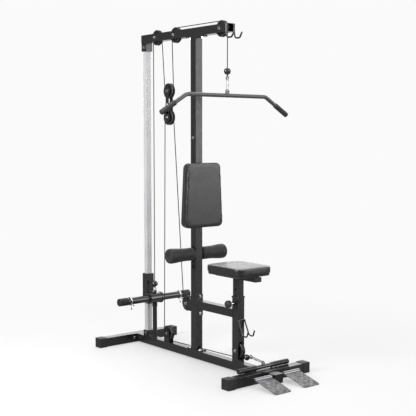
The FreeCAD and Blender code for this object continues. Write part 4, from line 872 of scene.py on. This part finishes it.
def make_cable_ends():
    down = (0, 0, -1)
    ball = Vector((0, LAT_Y, 1.744))
    cable_stop("lat_stop", "lat_cable_stop", ball, down, 21)
    eye = eye_and_neck("lat_stop", "lat_cable_stop", ball, down, 21, (0, 1, 0))
    snap_hook("lat_snap", "lat_hook", eye, Vector((0, LAT_Y, 1.630)), (1, 0, 0))
    _, run, ball = row_line()
    cable_stop("row_stop", "row_cable_stop", ball, run, 18)
    eye = eye_and_neck("row_stop", "row_cable_stop", ball, run, 18, (1, 0, 0))
    hole = Vector((0, -0.492, 0.0965))
    snap_hook("row_snap", "row_hook", eye, hole, (hole - eye).cross(ALONG_X).normalized())
    cable_stop("carriage_stop", "carriage_cable_stop", (0, CARRIAGE_Y, 0.413), down, 21)
    sleeve = [(0, 2.0), (0, 5.0), (8.0, 5.0), (9.0, 4.0), (9.0, 2.0)]
    neck = lathe("carriage_stop_neck", sleeve, (0, CARRIAGE_Y, 0.3925), down, 32, 35)
    placed(neck, "carriage_cable_stop", LOOKS["bright_steel"])
    make_shackle()


# ---------------- bars and grips

def ribbed(name, node, start, inward, length, radius, pitch, depth, replaces, look=None):
    """A rubber grip with rings round it and a domed tip, bored for the bar; sizes in mm."""
    bore = 12.1
    outline = [(-4.0, 0.4), (-4.0, radius - 4.0), (-3.2, radius - 1.8), (-1.6, radius - 0.4),
               (0.4, radius)]
    for i in range(int((length - 14) / pitch)):
        along = 5.0 + i * pitch
        for share, drop in ((0.0, 0), (0.28, 1), (0.58, 1), (0.86, 0)):
            outline.append((along + share * pitch, radius - drop * depth))
    outline += [(length - 3.0, radius), (length - 0.6, radius - 0.8), (length, radius - 2.0),
                (length, bore), (0.6, bore), (0.2, 0.4)]
    grip = lathe(name, outline, start, inward, 56, 26)
    placed(grip, node, look, stands_for=(node,) if replaces else ())


def make_lat_bar():
    ends = [Vector((x, LAT_Y, z)) for x, z in
            ((-0.474, 1.500), (-0.300, 1.605), (0.300, 1.605), (0.474, 1.500))]
    bar = sweep("lat_tube", cut_up(rounded_path(ends, 60 * MM, 14), 30 * MM), 12 * MM, 40)
    tab = tab_plate("lat_tab", [(-14, 1612), (14, 1612), (14, 1633), (7, 1641), (-7, 1641),
                                (-14, 1633)], (0, 1630), 7, "x", LAT_Y)
    foot = arc((0, LAT_Y, 1.6170), 9 * MM, 0, 352, (1, 0, 0), (0, 0.45, 0), 40)
    bead = sweep("lat_tab_weld", foot, 2.0 * MM, 10, closed=True)
    placed(bar, "lat_bar", BAR_GREY, stands_for=("lat_bar",))
    placed(joined([tab, bead], "lat_tab"), "lat_bar", GREY_STEEL)
    for k, (tip, bend) in enumerate(((ends[0], ends[1]), (ends[3], ends[2]))):
        ribbed(f"lat_grip_{k}", "lat_grips", tip, bend - tip, 110, 15.5, 3.1, 0.7, k == 0)


def tab_plate(name, outline, hole, radius, wide, at=0.0):
    """A flat tab with a round hole: outline and hole in mm, across X or Y and Z."""
    steps = 28
    ring = [(hole[0] + radius * cos(a), hole[1] + radius * sin(a))
            for a in round_angles(steps)]
    rim = [ray_to_outline(hole, spot, outline) for spot in ring]
    points = []
    for side in (-3 * MM, 3 * MM):
        for a, z in ring + rim:
            points.append((a * MM, at + side, z * MM) if wide == "x" else
                          (side, a * MM, z * MM))
    faces = []
    for here, there in ((0, 1), (3, 2), (1, 3), (2, 0)):
        faces += ring_faces(here * steps, there * steps, steps)
    made = mesh_object(name, points, faces)
    bevelled(made, 0.6 * MM, 2, 50, 30)
    return made


def ray_to_outline(centre, through, outline):
    """Where the ray from a centre through a point leaves a convex outline."""
    way = (through[0] - centre[0], through[1] - centre[1])
    best = None
    for (ax, az), (bx, bz) in zip(outline, outline[1:] + outline[:1]):
        edge = (bx - ax, bz - az)
        cross = way[0] * edge[1] - way[1] * edge[0]
        if abs(cross) < 1e-9:
            continue
        gap = (ax - centre[0], az - centre[1])
        reach = (gap[0] * edge[1] - gap[1] * edge[0]) / cross
        share = (gap[0] * way[1] - gap[1] * way[0]) / cross
        if reach > 0 and -1e-6 <= share <= 1 + 1e-6 and (best is None or reach < best):
            best = reach
    return centre[0] + way[0] * best, centre[1] + way[1] * best


def make_row_bar():
    y, z = -0.496, 0.0745
    bar = sweep("row_tube", [(x * MM, y, z) for x in range(-188, 189, 47)], 12 * MM, 40)
    tab = tab_plate("row_tab", [(-508, 83.5), (-482, 83.5), (-482, 99), (-487, 105.5),
                                (-497, 105.5), (-508, 95)], (-492, 96.5), 6.5, "y")
    foot = arc((0, -0.495, 0.0862), 10 * MM, 0, 352, (0.4, 0, 0), (0, 1, 0), 40)
    bead = sweep("row_tab_weld", foot, 1.8 * MM, 10, closed=True)
    placed(bar, "row_bar", GLOSS_BLACK, stands_for=("row_bar",))
    placed(joined([tab, bead], "row_tab"), "row_bar", GREY_STEEL)
    for k, side in enumerate((-1, 1)):
        ribbed(f"row_grip_{k}", "row_grips", (side * 0.188, y, z), (-side, 0, 0), 132, 15.0,
               6.2, 1.3, k == 0, GLOSS_RUBBER)


# ---------------- weight bar's collars

def radial(angle):
    return Vector((0, cos(angle), sin(angle)))


def make_collars():
    """Spring collars: wound wire with two crossed ears ending in plastic tips."""
    start, end = radians(-155), radians(-105)
    turns = end - start + 4 * pi
    steps, thick = 120, 2.2 * MM
    reach = 22.8 * MM + thick
    tip = [(0, 0.3), (0, 2.5), (0.8, 3.1), (9.0, 3.3), (10.4, 2.4), (10.6, 0.3)]
    for node, side in (("collar_left", -1), ("collar_right", 1)):
        low, high = [Vector((side * 0.196 + half * MM, CARRIAGE_Y, WEIGHT_Z))
                     for half in (-4.4, 4.4)]
        path = [low + radial(start) * (reach + out * MM) for out in (28, 18, 8)]
        path += [low.lerp(high, i / steps) + radial(start + turns * i / steps) * reach
                 for i in range(steps + 1)]
        path += [high + radial(end) * (reach + out * MM) for out in (8, 18, 28)]
        placed(sweep(node + "_coil", path, thick, 12), node, stands_for=(node,))
        for tag, spot, angle in (("low", low, start), ("high", high, end)):
            way = radial(angle)
            cap = lathe(f"{node}_tip_{tag}", tip, spot + way * (reach + 19.5 * MM), way, 24, 35)
            placed(cap, node, LOOKS["black_plastic"])


# ---------------- pull pin

def make_pin():
    """A fluted knob on a bright plunger that slides in a threaded bush."""
    flutes, steps = 18, 180
    rings = [(-92, 5), (-91.6, 13), (-90.4, 17.0), (-87.4, 20.2), (-84, 21.4), (-72, 21.8),
             (-67, 21.2), (-63.6, 18.4), (-62, 15.4), (-62, 5)]
    points = []
    for x, radius in rings:
        for angle in round_angles(steps):
            grip = 0.45 + 0.45 * cos(flutes * angle)
            size = (radius - (1.3 * grip if 17 < radius else 0)) * MM
            points.append((x * MM, SEAT_Y + size * cos(angle),
                           PIN_Z + size * sin(angle)))
    knob = mesh_object("pin_knob", points, stack(points, steps))
    edge_split(knob, 40)
    placed(knob, "seat_pin", stands_for=("seat_pin",))
    neck = [(-62.5, 0.3), (-62.5, 9.5), (-45.6, 9.5), (-44.6, 8.6), (-44.6, 5.0),
            (-23.0, 5.0), (-22.5, 4.4), (-22.5, 0.3)]
    plunger = lathe("pin_plunger", neck, (0, SEAT_Y, PIN_Z), (1, 0, 0), 32, 30)
    placed(plunger, "seat_pin", LOOKS["bright_steel"])


# ---------------- footrest treads

def make_treads():
    """Plates with raised bars set in pairs, each pair across the last, on a hinge tube."""
    hinge, tip = Vector((0, -0.606, 0.046)), Vector((0, -0.7729, 0.0004))
    slope, length = (tip - hinge).normalized(), (tip - hinge).length
    plane = Matrix((ALONG_X, slope, slope.cross(ALONG_X))).transposed().to_4x4()
    plane.translation = hinge
    knuckle = [(-61, 8.4), (-61, 11.0), (-60.4, 11.5), (60.4, 11.5), (61, 11.0), (61, 8.4)]
    for node, side in (("foot_plate_left", -1), ("foot_plate_right", 1)):
        low, high = side * 109 * MM - 60 * MM, side * 109 * MM + 60 * MM
        pieces = [slab(node + "_sheet", low, high, 9 * MM, length - 0.3 * MM, plane)]
        tube = lathe(node + "_tube", knuckle, hinge + ALONG_X * side * 109 * MM, (1, 0, 0),
                     48, 30)
        placed(tube, node, LINK_STEEL)
        for row in range(8):
            for col in range(6):
                place = (low + (13.5 + 18.6 * col) * MM, (24 + 18.6 * row) * MM, 3.9 * MM)
                lean = 45 if (row + col) % 2 else -45
                pieces.append(tread_bar(f"{node}_bar_{row}_{col}", place, lean, plane))
        placed(joined(pieces, node + "_sheet"), node, stands_for=(node,))


def slab(name, low, high, near, far, plane):
    """A 4 mm plate with its far corners rounded, its underside on a plane."""
    a, b, c, d = [Vector((x, y, 0)) for x, y in ((low, near), (high, near), (high, far),
                                                 (low, far))]
    outline = [a, b] + rounded_path([b, c, d, a], 12 * MM, 8)[1:-1]
    points = [plane @ (spot + Vector((0, 0, lift))) for lift in (4 * MM, 0) for spot in outline]
    made = mesh_object(name, points, stack(points, len(outline)), smooth=False)
    weld(made, 1e-6)
    bevelled(made, 0.7 * MM, 2, 60, 30)
    return made


def tread_bar(name, place, lean, plane):
    """One raised lozenge of the tread pattern."""
    turn = plane @ Matrix.Translation(place) @ Matrix.Rotation(radians(lean), 4, "Z")
    points, steps = [], 16
    for height, share in ((0.0, 1.0), (1.0, 0.84), (1.6, 0.5)):
        for angle in round_angles(steps):
            points.append(turn @ (Vector((9.2 * share * cos(angle),
                                          2.7 * share * sin(angle), height)) * MM))
    return mesh_object(name, points, stack(points, steps))


# ---------------- foam rollers

def make_rollers():
    """Waisted foam sleeves with rounded ends and a plug over the rod's tip."""
    shape = [(34, 11.6), (34, 36.5), (35.2, 38.6), (37.5, 39.7), (52, 39.4), (70, 39.0),
             (92, 39.0), (112, 39.4), (132, 40.6), (150, 42.3), (166, 43.8), (182, 44.7),
             (196, 45.0), (205, 44.6), (210.5, 42.8), (213.2, 39.6), (214, 35.5), (213.6, 28),
             (212.6, 20), (211.8, 13.6), (209.5, 12.6), (209.5, 0.4), (208.5, 0.4),
             (208.5, 11.6)]
    for node, side in (("roller_left", -1), ("roller_right", 1)):
        sleeve = lathe(node + "_foam", shape, (0, UPRIGHT_Y, ROLLER_Z), (side, 0, 0), 96, 60)
        placed(sleeve, node, stands_for=(node,))


# ---------------- upholstery

CLOTH = {"quality": 6, "mass": 0.4, "tension_stiffness": 40, "compression_stiffness": 40,
         "shear_stiffness": 25, "bending_stiffness": 12.0, "use_pressure": True,
         "uniform_pressure_force": 1.0, "vertex_group_mass": "held"}
CLOTH_FRAMES = 20
MOST_SWELL = 2.5 * MM


def flat_copy(node, name, shrink):
    """A welded copy of a CAD pad, made smaller about its middle by a length on each side."""
    made = added(name, frame["nodes"][node].data.copy())
    low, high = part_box(node)
    middle, size = (low + high) / 2, high - low
    for vertex in made.data.vertices:
        for k in range(3):
            share = (size[k] - 2 * shrink[k]) / size[k]
            vertex.co[k] = middle[k] + (vertex.co[k] - middle[k]) * share
    weld(made, 2e-6)
    return made


def stuffed(node, name, axis, sign, shrink):
    """A firm pad blown up as cloth from a slightly small shape; its back stays on the board.

    The board lies across the given axis, on the side of the pad that sign tells.
    """
    made = flat_copy(node, name, shrink)
    low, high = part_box(node)
    back = (high if sign > 0 else low)[axis]
    shell = skin_of(made)
    remesh = made.modifiers.new("remesh", "REMESH")
    remesh.mode = "VOXEL"
    remesh.voxel_size = 4 * MM
    apply_modifiers(made)
    for vertex in made.data.vertices:
        vertex.co = shell.find_nearest(vertex.co)[0]
    held = made.vertex_groups.new(name="held")
    rest = [v.co.copy() for v in made.data.vertices]
    pinned = [v.index for v in made.data.vertices
              if abs(v.co[axis] - back) < shrink[axis] + 2.5 * MM]
    held.add(pinned, 1.0, "ADD")
    blow_up(made)
    for vertex, start in zip(made.data.vertices, rest):
        move = vertex.co - start
        if move.length > MOST_SWELL:
            vertex.co = start + move * (MOST_SWELL / move.length)
    with edited(made) as work:
        for _ in range(4):
            bmesh.ops.smooth_vert(work, verts=work.verts, factor=0.5, use_axis_x=True,
                                  use_axis_y=True, use_axis_z=True)
    settle(made, axis, sign, back)
    made.data.validate()
    grow = made.modifiers.new("subdivide", "SUBSURF")
    grow.levels = grow.render_levels = 1
    apply_modifiers(made)
    settle(made, axis, sign, back)
    made.vertex_groups.clear()
    made.data.shade_smooth()
    return made


def blow_up(made):
    """Run the cloth simulation and keep its last frame."""
    cloth = made.modifiers.new("cloth", "CLOTH")
    for name, value in CLOTH.items():
        setattr(cloth.settings, name, value)
    cloth.settings.effector_weights.gravity = 0
    cloth.collision_settings.use_collision = False
    cloth.point_cache.frame_start = 1
    cloth.point_cache.frame_end = CLOTH_FRAMES
    for step in range(1, CLOTH_FRAMES + 1):
        bpy.context.scene.frame_set(step)
    apply_modifiers(made)
    bpy.context.scene.frame_set(1)


def skin_of(made):
    """A search tree over a mesh's faces."""
    work = bmesh.new()
    work.from_mesh(made.data)
    tree = BVHTree.FromBMesh(work)
    work.free()
    return tree


def settle(made, axis, sign, back):
    """Nothing passes the board behind the pad."""
    for vertex in made.data.vertices:
        if (vertex.co[axis] - back) * sign > -1.2 * MM:
            vertex.co[axis] = back - sign * 0.15 * MM


def looped(outline, longest):
    """A closed outline cut up, its first point not given again at the end."""
    return cut_up(outline + [outline[0]], longest)[:-1]


def piping(name, node, made, outline):
    """A sewn cord laid on the pad's skin along a closed outline near it."""
    skin, radius, path = skin_of(made), 1.5 * MM, []
    for spot in looped(outline, 4 * MM):
        near, normal, _, _ = skin.find_nearest(spot)
        path.append(near - normal * 0.35 * radius)
    for _ in range(4):
        path = [(path[i - 1] + path[i] * 2 + path[(i + 1) % len(path)]) / 4
                for i in range(len(path))]
    placed(sweep(name, path, radius, 10, closed=True), node)


def groove(made, outline, depth):
    """Pull the skin in along a closed outline near it, as a seam does."""
    skin, width = skin_of(made), 5 * MM
    path = looped([skin.find_nearest(spot)[0] for spot in looped(outline, 3 * MM)], 3 * MM)
    tree = KDTree(len(path))
    for i, spot in enumerate(path):
        tree.insert(spot, i)
    tree.balance()
    moves = []
    for vertex in made.data.vertices:
        gap = tree.find(vertex.co)[2]
        if gap < width:
            share = 0.5 + 0.5 * cos(pi * gap / width)
            moves.append((vertex.index, vertex.normal * (-depth * share)))
    for index, move in moves:
        made.data.vertices[index].co += move


def upholster(node, name, axis, sign, shrink, seam, depth):
    """A stuffed pad with a corded seam along an outline."""
    pad = stuffed(node, name, axis, sign, shrink)
    groove(pad, seam, depth)
    placed(pad, node, stands_for=(node,))
    piping(name + "_seam", node, pad, seam)


def make_seat_pad():
    low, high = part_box("seat_pad")
    corners = [(low.x, low.y), (high.x, low.y), (high.x, high.y), (low.x, high.y)]
    seam = rounded_path_closed([(x, y, low.z + 6 * MM) for x, y in corners], 46 * MM)
    upholster("seat_pad", "seat_cushion", 2, -1, (1.0 * MM, 1.0 * MM, 1.5 * MM), seam, 1.3 * MM)


def make_back_pad():
    corners = [(-145, 820), (145, 820), (125, 1212), (-125, 1212)]
    seam = rounded_path_closed([Vector((x, 58, z)) * MM for x, z in corners], 34 * MM)
    upholster("back_pad", "back_cushion", 1, 1, (1.0 * MM, 1.5 * MM, 1.0 * MM), seam, 1.2 * MM)


# ---------------- the whole scene

def finish_nodes():
    """CAD nodes that stay as they are get their slot's finish."""
    for node, slot in SLOT_OF.items():
        data = frame["nodes"][node].data
        data.materials.clear()
        data.materials.append(LOOKS[slot])


finish_nodes()
make_studio()
make_frame()
make_hooks()
make_welds()
make_pulleys()
make_cables()
make_cable_ends()
make_lat_bar()
make_row_bar()
make_collars()
make_pin()
make_treads()
make_rollers()
make_seat_pad()
make_back_pad()
